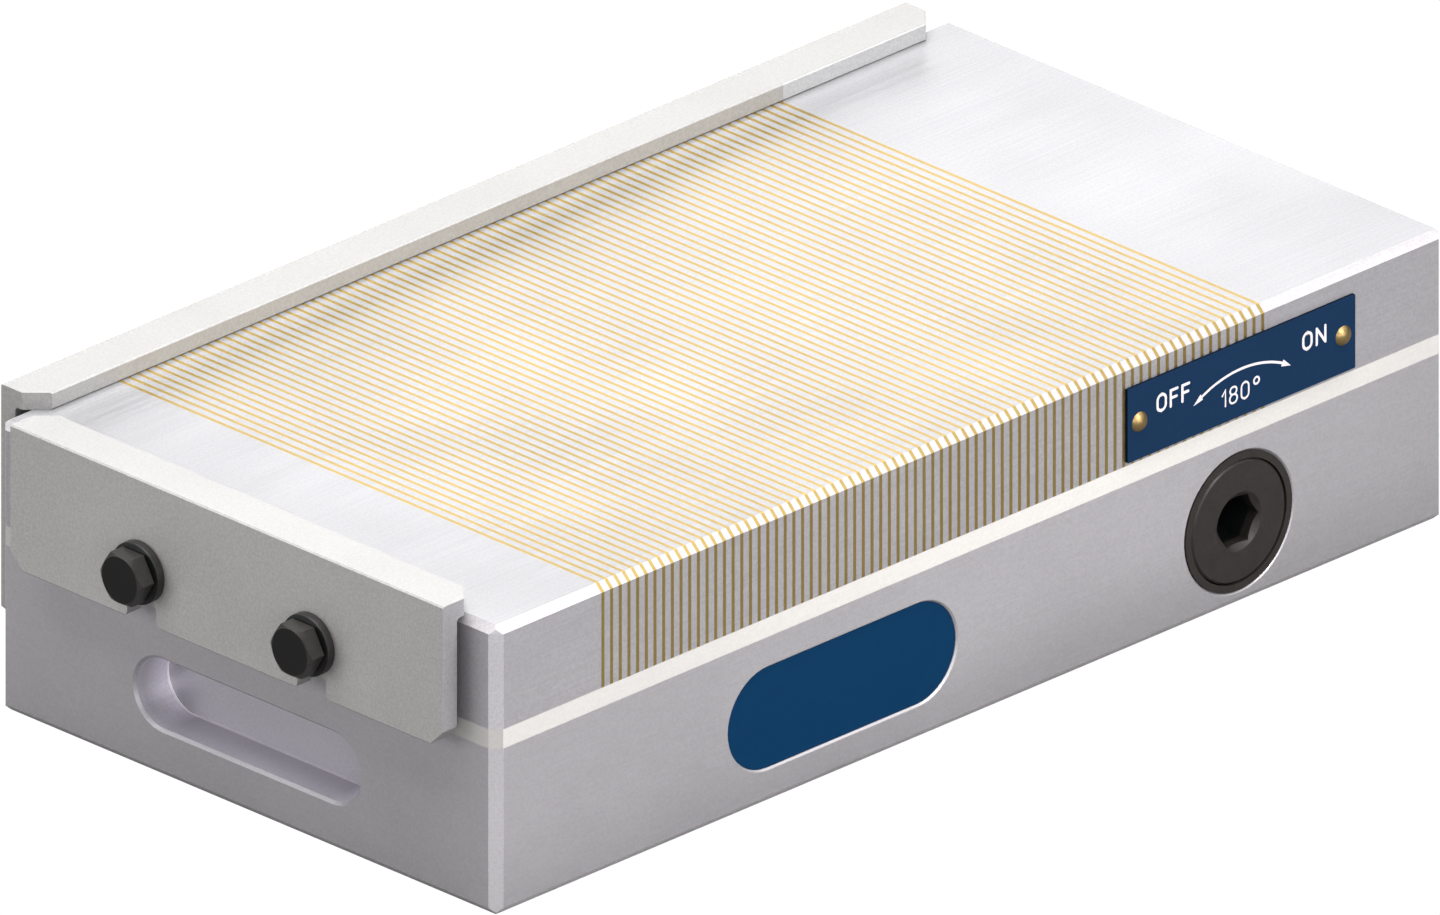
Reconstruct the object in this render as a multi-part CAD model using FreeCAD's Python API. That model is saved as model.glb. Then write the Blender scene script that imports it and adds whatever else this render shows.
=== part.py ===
import FreeCAD, Part
import math
import os

# Magnetic chuck with a fine pole pitch, switched by a hexagon key. Millimetres, +Z up.
# The origin is the middle of the underside. The key socket is in the front face, at -Y,
# the end stop is on the left end, at -X, and the side rail along the back, at +Y.
# The model is drawn switched off.

# Outer block: base, band and pole plate share one chamfered outline
BODY_LENGTH = 210.0
BODY_WIDTH = 110.0
BASE_HEIGHT = 29.0
BAND_HEIGHT = 3.3
PLATE_HEIGHT = 17.7
CORNER_CHAMFER = 1.65
TOP_CHAMFER = 1.3
FOOT_CHAMFER = 1.5

# Pole plate: solid end blocks, with thin brass and steel strips brazed between them
LEFT_BLOCK_LENGTH = 23.3
RIGHT_BLOCK_LEAST = 40.0
POLE_PITCH = 1.918
BRASS_THICKNESS = 0.70

# Well in the base for the sliding magnet pack, its floor just above the shaft
WELL_ABOVE_SHAFT = 8.5
WELL_LEFT_WALL = 22.0
WELL_RIGHT_WALL = 30.0
WELL_SIDE_WALL = 11.0
WELL_CORNER_RADIUS = 3.0

# Magnet pack
CARRIAGE_FLOOR = 2.0
CARRIAGE_WALL = 2.0
CARRIAGE_END_GAP = 1.0
CARRIAGE_SIDE_GAP = 0.3
CARRIAGE_TOP_GAP = 0.15
FLUX_THICKNESS = 0.9
STRIP_END_GAP = 0.1
STRIP_TOP_GAP = 0.05
SLIDE_STRIP_THICKNESS = 0.5
SLIDE_STRIP_WIDTH = 10.0
SLIDE_STRIP_INSET = 9.0
SLIDE_GAP = 0.05

# Actuator shaft, its bushes and the eccentric
SHAFT_FROM_RIGHT_END = 45.8
ECCENTRICITY = 0.48
JOURNAL_DIAMETER = 12.0
REAR_JOURNAL_DIAMETER = 10.0
RUNNING_GAP = 0.03
PRESS_GAP = 0.02
RING_LAND = 2.75
RING_WALL = 1.2
HEAD_DEPTH = 4.0
HEAD_GAP = 0.2
HEAD_CHAMFER = 0.35
RING_DEPTH = 5.0
RING_BORE_CHAMFER = 0.4
BUSH_WALL = 1.0
ECCENTRIC_DIAMETER = 11.0
ECCENTRIC_LENGTH = 25.0
ECCENTRIC_RING_WALL = 1.0
REAR_BUSH_WALL = 2.0
REAR_BUSH_LAND = 2.0
REAR_WALL = 10.0
SHAFT_END_GAP = 1.0
KEY_ACROSS_FLATS = 8.0
KEY_DEPTH = 10.0
KEY_MOUTH_DIAMETER = 10.0
KEY_LEAD_DEPTH = 0.8
TURN_DEGREES = 180.0

# Stop pin and its groove, snap ring and seal on the front journal
STOP_PIN_DIAMETER = 3.0
STOP_PIN_FROM_PIT = 7.0
STOP_GROOVE_DEPTH = 1.5
STOP_GROOVE_MARGIN = 3.5
STOP_PIN_TIP_GAP = 0.15
STOP_PIN_FOOT = 1.0
CLIP_THICKNESS = 1.0
CLIP_WIDTH = 2.15
CLIP_GROOVE_DEPTH = 0.6
CLIP_MOUTH_DEGREES = 50.0
CLIP_EAR_DIAMETER = 2.6
CLIP_EAR_HOLE = 1.1
SEAL_SECTION = 1.1
SEAL_BEHIND_SOCKET = 1.5

# Drive yoke under the carriage
YOKE_LEG = 4.5
YOKE_LENGTH = 24.0
YOKE_BRIDGE = 1.5
YOKE_SIDE_GAP = 0.16
YOKE_FOOT_BELOW_SHAFT = 8.0
YOKE_FOOT_CHAMFER = 0.8
YOKE_SCREW_SPACING = 15.0
PIT_GAP = 1.1
PIT_FLOOR_GAP = 1.0
PIT_END_GAP = 4.0
PIT_FRONT_GAP = 8.0
YOKE_SCREW_DIAMETER = 3.0
YOKE_SCREW_LENGTH = 10.0
YOKE_SCREW_HEAD_DIAMETER = 5.6
YOKE_SCREW_HEAD_HEIGHT = 1.5
YOKE_SCREW_KEY = 2.0

# Screws that hold the pole plate's end blocks down, from the underside
BODY_SCREW_INSET_X = 13.0
BODY_SCREW_INSET_Y = 13.0
BODY_SCREW_DIAMETER = 6.0
BODY_SCREW_THREAD = 9.7
BODY_SCREW_HEAD_DIAMETER = 10.0
BODY_SCREW_HEAD_HEIGHT = 6.0
BODY_SCREW_KEY = 5.0
BODY_SCREW_SINK = 7.0
SCREW_HOLE_GAP = 0.3
THREAD_GAP = 0.03
HOLE_END_GAP = 1.0

# Clamp pockets in both ends, for hold-down claws
CLAMP_POCKET_LENGTH = 49.6
CLAMP_POCKET_HEIGHT = 11.9
CLAMP_POCKET_DEPTH = 7.6
CLAMP_POCKET_CHAMFER = 0.5

# Badge plate in its shallow pocket, and the switch label on the pole plate
BADGE_FROM_LEFT_END = 76.7
BADGE_RISE = 0.5
BADGE_LENGTH = 50.2
BADGE_HEIGHT = 17.2
BADGE_THICKNESS = 0.7
BADGE_GAP = 0.1
BADGE_SINK = 0.35
BADGE_POCKET_CHAMFER = 0.3
LABEL_LENGTH = 50.3
LABEL_HEIGHT = 12.7
LABEL_THICKNESS = 0.55
LABEL_ABOVE_BAND = 0.7
LABEL_CORNER_RADIUS = 0.2
RIVET_INSET = 2.65
RIVET_DOME_DIAMETER = 3.4
RIVET_DOME_HEIGHT = 0.9
RIVET_SHANK_DIAMETER = 1.6
RIVET_SHANK_LENGTH = 3.5

# Stop plates: L sections that hang over the top edges on slotted legs
STOP_STANDOFF = 1.3
STOP_THICKNESS = 3.2
STOP_LIP_REACH = 8.0
STOP_LIP_THICKNESS = 3.0
STOP_INNER_FILLET = 0.7
STOP_EDGE_BREAK = 0.25
STOP_LIP_CHAMFER = 3.35
STOP_LEG_CHAMFER = 3.0
SLOT_WIDTH = 6.4
SLOT_MOUTH_RADIUS = 1.0
SLOT_ABOVE_LEG_EDGE = 8.95
END_STOP_INSET = 7.2
END_STOP_LEG = 21.6
END_STOP_BOLT_SPACING = 37.6
SIDE_RAIL_INSET = 5.15
SIDE_RAIL_LEG = 38.2
SIDE_RAIL_BOLT_SPACING = 76.0
SIDE_RAIL_BOLT_COUNT = 3

# Bolts, washers and stand-off rings of the stop plates
BOLT_DIAMETER = 5.0
BOLT_LENGTH = 14.0
BOLT_ACROSS_FLATS = 8.1
BOLT_HEAD_HEIGHT = 3.05
BOLT_FACE_SHARE = 0.96
BOLT_CHAMFER_DEGREES = 30.0
BOLT_COLLAR_DIAMETER = 6.8
BOLT_COLLAR_HEIGHT = 0.25
WASHER_DIAMETER = 10.4
WASHER_THICKNESS = 1.5
WASHER_EDGE = 0.2
STANDOFF_DIAMETER = 9.0
WASHER_BORE_GAP = 0.15

# Values that follow from the driving dimensions
X_LEFT = -BODY_LENGTH / 2
X_RIGHT = BODY_LENGTH / 2
Y_FRONT = -BODY_WIDTH / 2
Y_BACK = BODY_WIDTH / 2
Z_BAND = BASE_HEIGHT
Z_PLATE = Z_BAND + BAND_HEIGHT
Z_TOP = Z_PLATE + PLATE_HEIGHT
STEEL_THICKNESS = POLE_PITCH - BRASS_THICKNESS
LAMINATED_SPACE = BODY_LENGTH - LEFT_BLOCK_LENGTH - RIGHT_BLOCK_LEAST
BRASS_COUNT = int((LAMINATED_SPACE - BRASS_THICKNESS) / POLE_PITCH) + 1
X_LAMINATED = X_LEFT + LEFT_BLOCK_LENGTH
X_RIGHT_BLOCK = X_LAMINATED + (BRASS_COUNT - 1) * POLE_PITCH + BRASS_THICKNESS
TRAVEL = 2 * ECCENTRICITY
SHAFT_X = X_RIGHT - SHAFT_FROM_RIGHT_END
SHAFT_Z = BASE_HEIGHT / 2
WELL_FLOOR_HEIGHT = SHAFT_Z + WELL_ABOVE_SHAFT
RING_DIAMETER = BASE_HEIGHT - 2 * RING_LAND
HEAD_DIAMETER = RING_DIAMETER - 2 * (RING_WALL + HEAD_GAP)
JOURNAL_RADIUS = JOURNAL_DIAMETER / 2
REAR_JOURNAL_RADIUS = REAR_JOURNAL_DIAMETER / 2
BUSH_BORE_RADIUS = JOURNAL_RADIUS + RUNNING_GAP
BUSH_RADIUS = BUSH_BORE_RADIUS + BUSH_WALL
REAR_BORE_RADIUS = REAR_JOURNAL_RADIUS + RUNNING_GAP
REAR_BUSH_RADIUS = REAR_BORE_RADIUS + REAR_BUSH_WALL
Z_CARRIAGE = WELL_FLOOR_HEIGHT + SLIDE_STRIP_THICKNESS + SLIDE_GAP
Z_CARRIAGE_TOP = Z_PLATE - CARRIAGE_TOP_GAP
Z_CARRIAGE_FLOOR = Z_CARRIAGE + CARRIAGE_FLOOR
X_WELL_LEFT = X_LEFT + WELL_LEFT_WALL
X_WELL_RIGHT = X_RIGHT - WELL_RIGHT_WALL
Y_WELL = Y_BACK - WELL_SIDE_WALL
X_CARRIAGE_LEFT = X_WELL_LEFT + CARRIAGE_END_GAP
X_CARRIAGE_RIGHT = X_WELL_RIGHT - CARRIAGE_END_GAP - TRAVEL
Y_CARRIAGE = Y_WELL - CARRIAGE_SIDE_GAP
ECCENTRIC_RADIUS = ECCENTRIC_DIAMETER / 2
ECCENTRIC_RING_BORE = ECCENTRIC_RADIUS + RUNNING_GAP
ECCENTRIC_RING_RADIUS = ECCENTRIC_RING_BORE + ECCENTRIC_RING_WALL
YOKE_X = SHAFT_X - ECCENTRICITY
YOKE_SLOT_HALF = ECCENTRIC_RING_RADIUS + YOKE_SIDE_GAP
YOKE_HALF = YOKE_SLOT_HALF + YOKE_LEG
PIT_HALF = YOKE_HALF + ECCENTRICITY + PIT_GAP
PIT_FRONT = -YOKE_LENGTH / 2 - PIT_FRONT_GAP
PIT_BACK = YOKE_LENGTH / 2 + PIT_END_GAP
YOKE_FOOT_HEIGHT = SHAFT_Z - YOKE_FOOT_BELOW_SHAFT
PIT_FLOOR_HEIGHT = YOKE_FOOT_HEIGHT - PIT_FLOOR_GAP
FRONT_BUSH_END = PIT_FRONT
REAR_BUSH_FRONT = PIT_BACK + REAR_BUSH_LAND
REAR_BUSH_BACK = Y_BACK - REAR_WALL
STOP_PIN_Y = PIT_FRONT - STOP_PIN_FROM_PIT
SEAL_Y = Y_FRONT + KEY_DEPTH + SEAL_BEHIND_SOCKET
BODY_SCREW_LENGTH = Z_PLATE - BODY_SCREW_SINK + BODY_SCREW_THREAD
BODY_SCREW_X = X_RIGHT - BODY_SCREW_INSET_X
BODY_SCREW_Y = Y_BACK - BODY_SCREW_INSET_Y
BODY_SCREW_PLACES = [(x, y) for x in (-BODY_SCREW_X, BODY_SCREW_X) for y in (-BODY_SCREW_Y, BODY_SCREW_Y)]
STOP_OUTER = STOP_STANDOFF + STOP_THICKNESS
END_BOLT_Z = Z_TOP - END_STOP_LEG + SLOT_ABOVE_LEG_EDGE
RAIL_BOLT_Z = Z_TOP - SIDE_RAIL_LEG + SLOT_ABOVE_LEG_EDGE
BOLT_GRIP = STOP_OUTER + WASHER_THICKNESS + 2 * SLIDE_GAP
BOLT_HOLE_DEPTH = BOLT_LENGTH - BOLT_GRIP + HOLE_END_GAP
LABEL_Z = Z_PLATE + LABEL_ABOVE_BAND + LABEL_HEIGHT / 2
BADGE_X = X_LEFT + BADGE_FROM_LEFT_END
BADGE_HEIGHT_UP = BASE_HEIGHT / 2 + BADGE_RISE
REACH = 1.0


def vector(x, y, z):
    return FreeCAD.Vector(x, y, z)


def block(x_range, y_range, z_range):
    """A box between two corners."""
    sizes = [high - low for low, high in (x_range, y_range, z_range)]
    return Part.makeBox(*sizes, vector(x_range[0], y_range[0], z_range[0]))


def prism(points, direction):
    """A closed outline of points, pushed along a direction."""
    outline = Part.makePolygon(points + points[:1])
    return Part.Face(outline).extrude(direction)


def union(shapes):
    return shapes[0].multiFuse(shapes[1:]).removeSplitter()


def edges_within(shape, low, high):
    """The edges that lie wholly between two corners, used to pick what a chamfer follows."""
    slack = 0.01
    picked = []
    for edge in shape.Edges:
        box = edge.BoundBox
        above = box.XMin > low.x - slack and box.YMin > low.y - slack and box.ZMin > low.z - slack
        below = box.XMax < high.x + slack and box.YMax < high.y + slack and box.ZMax < high.z + slack
        if above and below:
            picked.append(edge)
    return picked


def turned(profile, axis, place):
    """A profile of (radius, height) pairs, turned about an axis that starts at a place."""
    wire = Part.makePolygon([vector(r, 0, h) for r, h in profile + profile[:1]])
    solid = Part.Face(wire).revolve(vector(0, 0, 0), vector(0, 0, 1), 360)
    return aimed(solid, axis, place)


def aimed(shape, axis, place):
    """A shape drawn about +Z, turned to point along an axis and moved to a place."""
    turn = FreeCAD.Placement(place, FreeCAD.Rotation(vector(0, 0, 1), axis))
    shape.Placement = turn.multiply(shape.Placement)
    return shape


def cylinder(radius, length, place, axis):
    return Part.makeCylinder(radius, length, place, axis)


def hexagon(across_flats, height, phase=0.0):
    """A hexagon prism from z = 0 up, with a corner at the phase angle from +X."""
    corner = across_flats / math.sqrt(3)
    turns = [math.radians(phase + 60 * step) for step in range(6)]
    points = [vector(corner * math.cos(turn), corner * math.sin(turn), 0) for turn in turns]
    return prism(points, vector(0, 0, height))


def rounded_block(x_range, y_range, z_range, radius):
    """A box with its four upright edges rounded, as a milling cutter leaves a pocket."""
    solid = block(x_range, y_range, z_range)
    upright = [edge for edge in solid.Edges if edge.BoundBox.ZLength > solid.BoundBox.ZLength - radius / 10]
    return solid.makeFillet(radius, upright)


def obround(length, height, depth, axis, place):
    """A slot-shaped prism: two round ends joined by flats, pushed along an axis."""
    radius = height / 2
    centre = length / 2 - radius
    right_top = vector(centre, radius, 0)
    right_low = vector(centre, -radius, 0)
    left_top = vector(-centre, radius, 0)
    left_low = vector(-centre, -radius, 0)
    edges = [
        Part.LineSegment(left_top, right_top),
        Part.Arc(right_top, vector(length / 2, 0, 0), right_low),
        Part.LineSegment(right_low, left_low),
        Part.Arc(left_low, vector(-length / 2, 0, 0), left_top),
    ]
    face = Part.Face(Part.Wire([edge.toShape() for edge in edges]))
    solid = face.extrude(vector(0, 0, depth))
    if abs(axis.x) > 0:
        solid.rotate(vector(0, 0, 0), vector(0, 0, 1), 90)
    return aimed(solid, axis, place)


def layer(low, height):
    """One layer of the outer block, with its four upright corners chamfered."""
    cut = CORNER_CHAMFER
    corners = [
        (X_LEFT + cut, Y_FRONT), (X_RIGHT - cut, Y_FRONT),
        (X_RIGHT, Y_FRONT + cut), (X_RIGHT, Y_BACK - cut),
        (X_RIGHT - cut, Y_BACK), (X_LEFT + cut, Y_BACK),
        (X_LEFT, Y_BACK - cut), (X_LEFT, Y_FRONT + cut),
    ]
    return prism([vector(x, y, low) for x, y in corners], vector(0, 0, height))


def bevelled_layer(low, height, foot, top):
    """A layer whose level edges are ground straight along each side, so the bevels meet in a mitre."""
    high = low + height

    def outline(half):
        points = [(-half, low + foot), (foot - half, low), (half - foot, low), (half, low + foot)]
        points += [(half, high - top), (half - top, high), (top - half, high), (-half, high - top)]
        return list(dict.fromkeys(points))

    side_view = [vector(X_LEFT, y, z) for y, z in outline(Y_BACK)]
    end_view = [vector(x, Y_FRONT, z) for x, z in outline(X_RIGHT)]
    solid = layer(low, height).common(prism(side_view, vector(BODY_LENGTH, 0, 0)))
    return solid.common(prism(end_view, vector(0, BODY_WIDTH, 0)))


def well(z_range):
    return rounded_block((X_WELL_LEFT, X_WELL_RIGHT), (-Y_WELL, Y_WELL), z_range, WELL_CORNER_RADIUS)


def front_badge_pocket():
    depth = BADGE_SINK + BADGE_THICKNESS
    place = vector(BADGE_X, Y_FRONT, BADGE_HEIGHT_UP)
    size = 2 * BADGE_GAP
    return obround(BADGE_LENGTH + size, BADGE_HEIGHT + size, depth, vector(0, 1, 0), place)


def clamp_pocket(x, inward):
    place = vector(x, 0, SHAFT_Z)
    return obround(CLAMP_POCKET_LENGTH, CLAMP_POCKET_HEIGHT, CLAMP_POCKET_DEPTH, vector(inward, 0, 0), place)


def bolt_places_end():
    return [vector(X_LEFT, side * END_STOP_BOLT_SPACING / 2, END_BOLT_Z) for side in (-1, 1)]


def bolt_places_rail():
    middle = (SIDE_RAIL_BOLT_COUNT - 1) / 2
    return [
        vector((step - middle) * SIDE_RAIL_BOLT_SPACING, Y_BACK, RAIL_BOLT_Z)
        for step in range(SIDE_RAIL_BOLT_COUNT)
    ]


def rivet_places():
    reach = LABEL_LENGTH / 2 - RIVET_INSET
    return [vector(SHAFT_X + side * reach, Y_FRONT, LABEL_Z) for side in (-1, 1)]


def shaft_bores():
    """The bores of the base along the shaft: the ring's recess, the front and rear bush bores."""
    y_axis = vector(0, 1, 0)
    start = vector(SHAFT_X, Y_FRONT, SHAFT_Z)
    ring = cylinder(RING_DIAMETER / 2 + PRESS_GAP, RING_DEPTH, start, y_axis)
    front = cylinder(BUSH_RADIUS + PRESS_GAP, PIT_FRONT - Y_FRONT, start, y_axis)
    rear_start = vector(SHAFT_X, PIT_BACK, SHAFT_Z)
    rear_length = REAR_BUSH_BACK + HOLE_END_GAP - PIT_BACK
    rear = cylinder(REAR_BUSH_RADIUS + PRESS_GAP, rear_length, rear_start, y_axis)
    return [ring, front, rear]


def base_body():
    solid = bevelled_layer(0, BASE_HEIGHT, FOOT_CHAMFER, 0)
    cuts = [well((WELL_FLOOR_HEIGHT, BASE_HEIGHT + REACH))]
    pit_x = (SHAFT_X - PIT_HALF, SHAFT_X + PIT_HALF)
    pit_z = (PIT_FLOOR_HEIGHT, WELL_FLOOR_HEIGHT + REACH)
    cuts.append(rounded_block(pit_x, (PIT_FRONT, PIT_BACK), pit_z, WELL_CORNER_RADIUS))
    cuts += shaft_bores()
    cuts += [clamp_pocket(X_LEFT, 1), clamp_pocket(X_RIGHT, -1), front_badge_pocket()]
    up = vector(0, 0, 1)
    for x, y in BODY_SCREW_PLACES:
        foot = vector(x, y, 0)
        cuts.append(cylinder(BODY_SCREW_HEAD_DIAMETER / 2 + SCREW_HOLE_GAP, BODY_SCREW_SINK, foot, up))
        cuts.append(cylinder(BODY_SCREW_DIAMETER / 2 + SCREW_HOLE_GAP, BASE_HEIGHT, foot, up))
    pin_foot = vector(SHAFT_X, STOP_PIN_Y, 0)
    cuts.append(cylinder(STOP_PIN_DIAMETER / 2 + PRESS_GAP, SHAFT_Z, pin_foot, up))
    for place in bolt_places_rail():
        cuts.append(cylinder(BOLT_DIAMETER / 2 + THREAD_GAP, BOLT_HOLE_DEPTH, place, vector(0, -1, 0)))
    solid = solid.cut(cuts)
    return broken_mouths(solid)


def broken_mouths(solid):
    """Chamfers on the mouths of the clamp pockets, the badge pocket and the ring's bore."""
    half_length = CLAMP_POCKET_LENGTH / 2
    half_height = CLAMP_POCKET_HEIGHT / 2
    for x in (X_LEFT, X_RIGHT):
        low = vector(x, -half_length, SHAFT_Z - half_height)
        high = vector(x, half_length, SHAFT_Z + half_height)
        solid = solid.makeChamfer(CLAMP_POCKET_CHAMFER, edges_within(solid, low, high))
    half_length = BADGE_LENGTH / 2 + BADGE_GAP
    half_height = BADGE_HEIGHT / 2 + BADGE_GAP
    low = vector(BADGE_X - half_length, Y_FRONT, BADGE_HEIGHT_UP - half_height)
    high = vector(BADGE_X + half_length, Y_FRONT, BADGE_HEIGHT_UP + half_height)
    solid = solid.makeChamfer(BADGE_POCKET_CHAMFER, edges_within(solid, low, high))
    radius = RING_DIAMETER / 2 + PRESS_GAP
    low = vector(SHAFT_X - radius, Y_FRONT, SHAFT_Z - radius)
    high = vector(SHAFT_X + radius, Y_FRONT, SHAFT_Z + radius)
    return solid.makeChamfer(RING_BORE_CHAMFER, edges_within(solid, low, high))


def spacer_frame():
    solid = layer(Z_BAND, BAND_HEIGHT)
    cuts = [well((Z_BAND - REACH, Z_PLATE + REACH))]
    for x, y in BODY_SCREW_PLACES:
        hole = BODY_SCREW_DIAMETER / 2 + SCREW_HOLE_GAP
        cuts.append(cylinder(hole, BAND_HEIGHT, vector(x, y, Z_BAND), vector(0, 0, 1)))
    return solid.cut(cuts)


def whole_pole_plate():
    """The plate as it is ground after brazing: one chamfered block with its tapped holes."""
    solid = bevelled_layer(Z_PLATE, PLATE_HEIGHT, 0, TOP_CHAMFER)
    cuts = []
    depth = BODY_SCREW_SINK + BODY_SCREW_LENGTH + HOLE_END_GAP - Z_PLATE
    for x, y in BODY_SCREW_PLACES:
        hole = BODY_SCREW_DIAMETER / 2 + THREAD_GAP
        cuts.append(cylinder(hole, depth, vector(x, y, Z_PLATE), vector(0, 0, 1)))
    for place in bolt_places_end():
        cuts.append(cylinder(BOLT_DIAMETER / 2 + THREAD_GAP, BOLT_HOLE_DEPTH, place, vector(1, 0, 0)))
    for place in rivet_places():
        hole = RIVET_SHANK_DIAMETER / 2 + PRESS_GAP
        cuts.append(cylinder(hole, RIVET_SHANK_LENGTH, place, vector(0, 1, 0)))
    return solid.cut(cuts)


def plate_slice(plate, x_low, x_high):
    """The part of the pole plate between two positions along its length."""
    return plate.common(block((x_low, x_high), (2 * Y_FRONT, 2 * Y_BACK), (0, 2 * Z_TOP)))


def brass_starts():
    return [X_LAMINATED + step * POLE_PITCH for step in range(BRASS_COUNT)]


def steel_starts():
    return [start + BRASS_THICKNESS for start in brass_starts()[:-1]]


def body_screws():
    """Cap screws with their heads sunk in the underside."""
    head = BODY_SCREW_HEAD_DIAMETER / 2
    shank = BODY_SCREW_DIAMETER / 2
    break_size = BODY_SCREW_DIAMETER / 12
    seat = BODY_SCREW_HEAD_HEIGHT
    tip = seat + BODY_SCREW_LENGTH
    profile = [
        (0, 0), (head - break_size, 0), (head, break_size), (head, seat), (shank, seat),
        (shank, tip - break_size), (shank - break_size, tip), (0, tip),
    ]
    screws = []
    for x, y in BODY_SCREW_PLACES:
        place = vector(x, y, BODY_SCREW_SINK - BODY_SCREW_HEAD_HEIGHT)
        screw = turned(profile, vector(0, 0, 1), place)
        socket = hexagon(BODY_SCREW_KEY, BODY_SCREW_HEAD_HEIGHT / 2)
        socket.translate(place)
        screws.append(screw.cut(socket))
    return Part.makeCompound(screws)


def front_bush():
    """Black ring and sleeve in one: the disc turns in its recess, the journal in its bore."""
    ring = RING_DIAMETER / 2
    recess = HEAD_DIAMETER / 2 + HEAD_GAP
    back = Y_FRONT + RING_DEPTH
    seat = Y_FRONT + HEAD_DEPTH + SLIDE_GAP
    profile = [
        (recess, Y_FRONT), (ring, Y_FRONT), (ring, back), (BUSH_RADIUS, back),
        (BUSH_RADIUS, FRONT_BUSH_END), (BUSH_BORE_RADIUS, FRONT_BUSH_END),
        (BUSH_BORE_RADIUS, seat), (recess, seat),
    ]
    solid = turned(profile, vector(0, 1, 0), vector(SHAFT_X, 0, SHAFT_Z))
    pin_hole = STOP_PIN_DIAMETER / 2 + PRESS_GAP
    foot = vector(SHAFT_X, STOP_PIN_Y, 0)
    return solid.cut(cylinder(pin_hole, SHAFT_Z, foot, vector(0, 0, 1)))


def rear_bush():
    profile = [
        (REAR_BORE_RADIUS, REAR_BUSH_FRONT), (REAR_BUSH_RADIUS, REAR_BUSH_FRONT),
        (REAR_BUSH_RADIUS, REAR_BUSH_BACK), (REAR_BORE_RADIUS, REAR_BUSH_BACK),
    ]
    return turned(profile, vector(0, 1, 0), vector(SHAFT_X, 0, SHAFT_Z))


def stop_pin():
    """Dowel from the underside whose tip stands in the shaft's part-turn groove."""
    tip = SHAFT_Z - JOURNAL_RADIUS + STOP_GROOVE_DEPTH - STOP_PIN_TIP_GAP
    length = tip - STOP_PIN_FOOT
    foot = vector(SHAFT_X, STOP_PIN_Y, STOP_PIN_FOOT)
    return cylinder(STOP_PIN_DIAMETER / 2, length, foot, vector(0, 0, 1))


def part_turn(radii, y_range, start_degrees, sweep_degrees):
    """A ring segment about the shaft axis, swept clockwise as seen from the front."""
    r_low, r_high = radii
    y_low, y_high = y_range
    corners = [(r_low, y_low), (r_high, y_low), (r_high, y_high), (r_low, y_high), (r_low, y_low)]
    face = Part.Face(Part.makePolygon([vector(r, y, 0) for r, y in corners]))
    face.rotate(vector(0, 0, 0), vector(0, 1, 0), start_degrees)
    solid = face.revolve(vector(0, 0, 0), vector(0, 1, 0), sweep_degrees)
    solid.translate(vector(SHAFT_X, 0, SHAFT_Z))
    return solid


def actuator_shaft():
    """Disc, journals and eccentric in one piece, with the hexagon socket in the disc."""
    head = HEAD_DIAMETER / 2
    head_back = Y_FRONT + HEAD_DEPTH
    journal_end = PIT_FRONT + CLIP_THICKNESS + 2 * HOLE_END_GAP
    tip = REAR_BUSH_BACK
    chamfer = HEAD_CHAMFER
    profile = [
        (0, Y_FRONT), (head - chamfer, Y_FRONT), (head, Y_FRONT + chamfer), (head, head_back),
        (JOURNAL_RADIUS, head_back), (JOURNAL_RADIUS, journal_end),
        (REAR_JOURNAL_RADIUS, journal_end), (REAR_JOURNAL_RADIUS, tip - SHAFT_END_GAP),
        (REAR_JOURNAL_RADIUS - SHAFT_END_GAP, tip), (0, tip),
    ]
    y_axis = vector(0, 1, 0)
    solid = turned(profile, y_axis, vector(SHAFT_X, 0, SHAFT_Z))
    land_start = vector(YOKE_X, -ECCENTRIC_LENGTH / 2, SHAFT_Z)
    solid = union([solid, cylinder(ECCENTRIC_RADIUS, ECCENTRIC_LENGTH, land_start, y_axis)])
    mouth = vector(SHAFT_X, Y_FRONT, SHAFT_Z)
    socket = aimed(hexagon(KEY_ACROSS_FLATS, KEY_DEPTH), y_axis, mouth)
    lead = Part.makeCone(KEY_MOUTH_DIAMETER / 2, KEY_ACROSS_FLATS / 2, KEY_LEAD_DEPTH, mouth, y_axis)
    return solid.cut([socket, lead, stop_groove(), clip_groove(), seal_groove()])


def stop_groove():
    """Part-turn groove that lets the shaft turn from off to on and no further."""
    floor = JOURNAL_RADIUS - STOP_GROOVE_DEPTH
    half_pin = math.degrees(math.asin(STOP_PIN_DIAMETER / 2 / floor))
    sweep = TURN_DEGREES + 2 * (half_pin + STOP_GROOVE_MARGIN)
    half_width = STOP_PIN_DIAMETER / 2 + STOP_PIN_TIP_GAP
    y_range = (STOP_PIN_Y - half_width, STOP_PIN_Y + half_width)
    return part_turn((floor, JOURNAL_RADIUS + REACH), y_range, -sweep / 2, sweep)


def clip_range():
    start = FRONT_BUSH_END + SLIDE_GAP
    return (start, start + CLIP_THICKNESS)


def clip_groove():
    low, high = clip_range()
    radii = (JOURNAL_RADIUS - CLIP_GROOVE_DEPTH, JOURNAL_RADIUS + REACH)
    return part_turn(radii, (low - RUNNING_GAP, high + RUNNING_GAP), 0, 360)


def seal_groove():
    floor = JOURNAL_RADIUS - SEAL_SECTION - RUNNING_GAP
    half = SEAL_SECTION / 2 + 2 * SLIDE_GAP
    return part_turn((floor, JOURNAL_RADIUS + REACH), (SEAL_Y - half, SEAL_Y + half), 0, 360)


def shaft_oring():
    """Seal ring, its round section drawn with eight sides, as it is squeezed in its groove."""
    radius = JOURNAL_RADIUS - SEAL_SECTION / 2
    turns = [math.radians(45 * step + 22.5) for step in range(8)]
    half = SEAL_SECTION / 2
    section = [(radius + half * math.cos(turn), half * math.sin(turn)) for turn in turns]
    return turned(section, vector(0, 1, 0), vector(SHAFT_X, SEAL_Y, SHAFT_Z))


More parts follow.
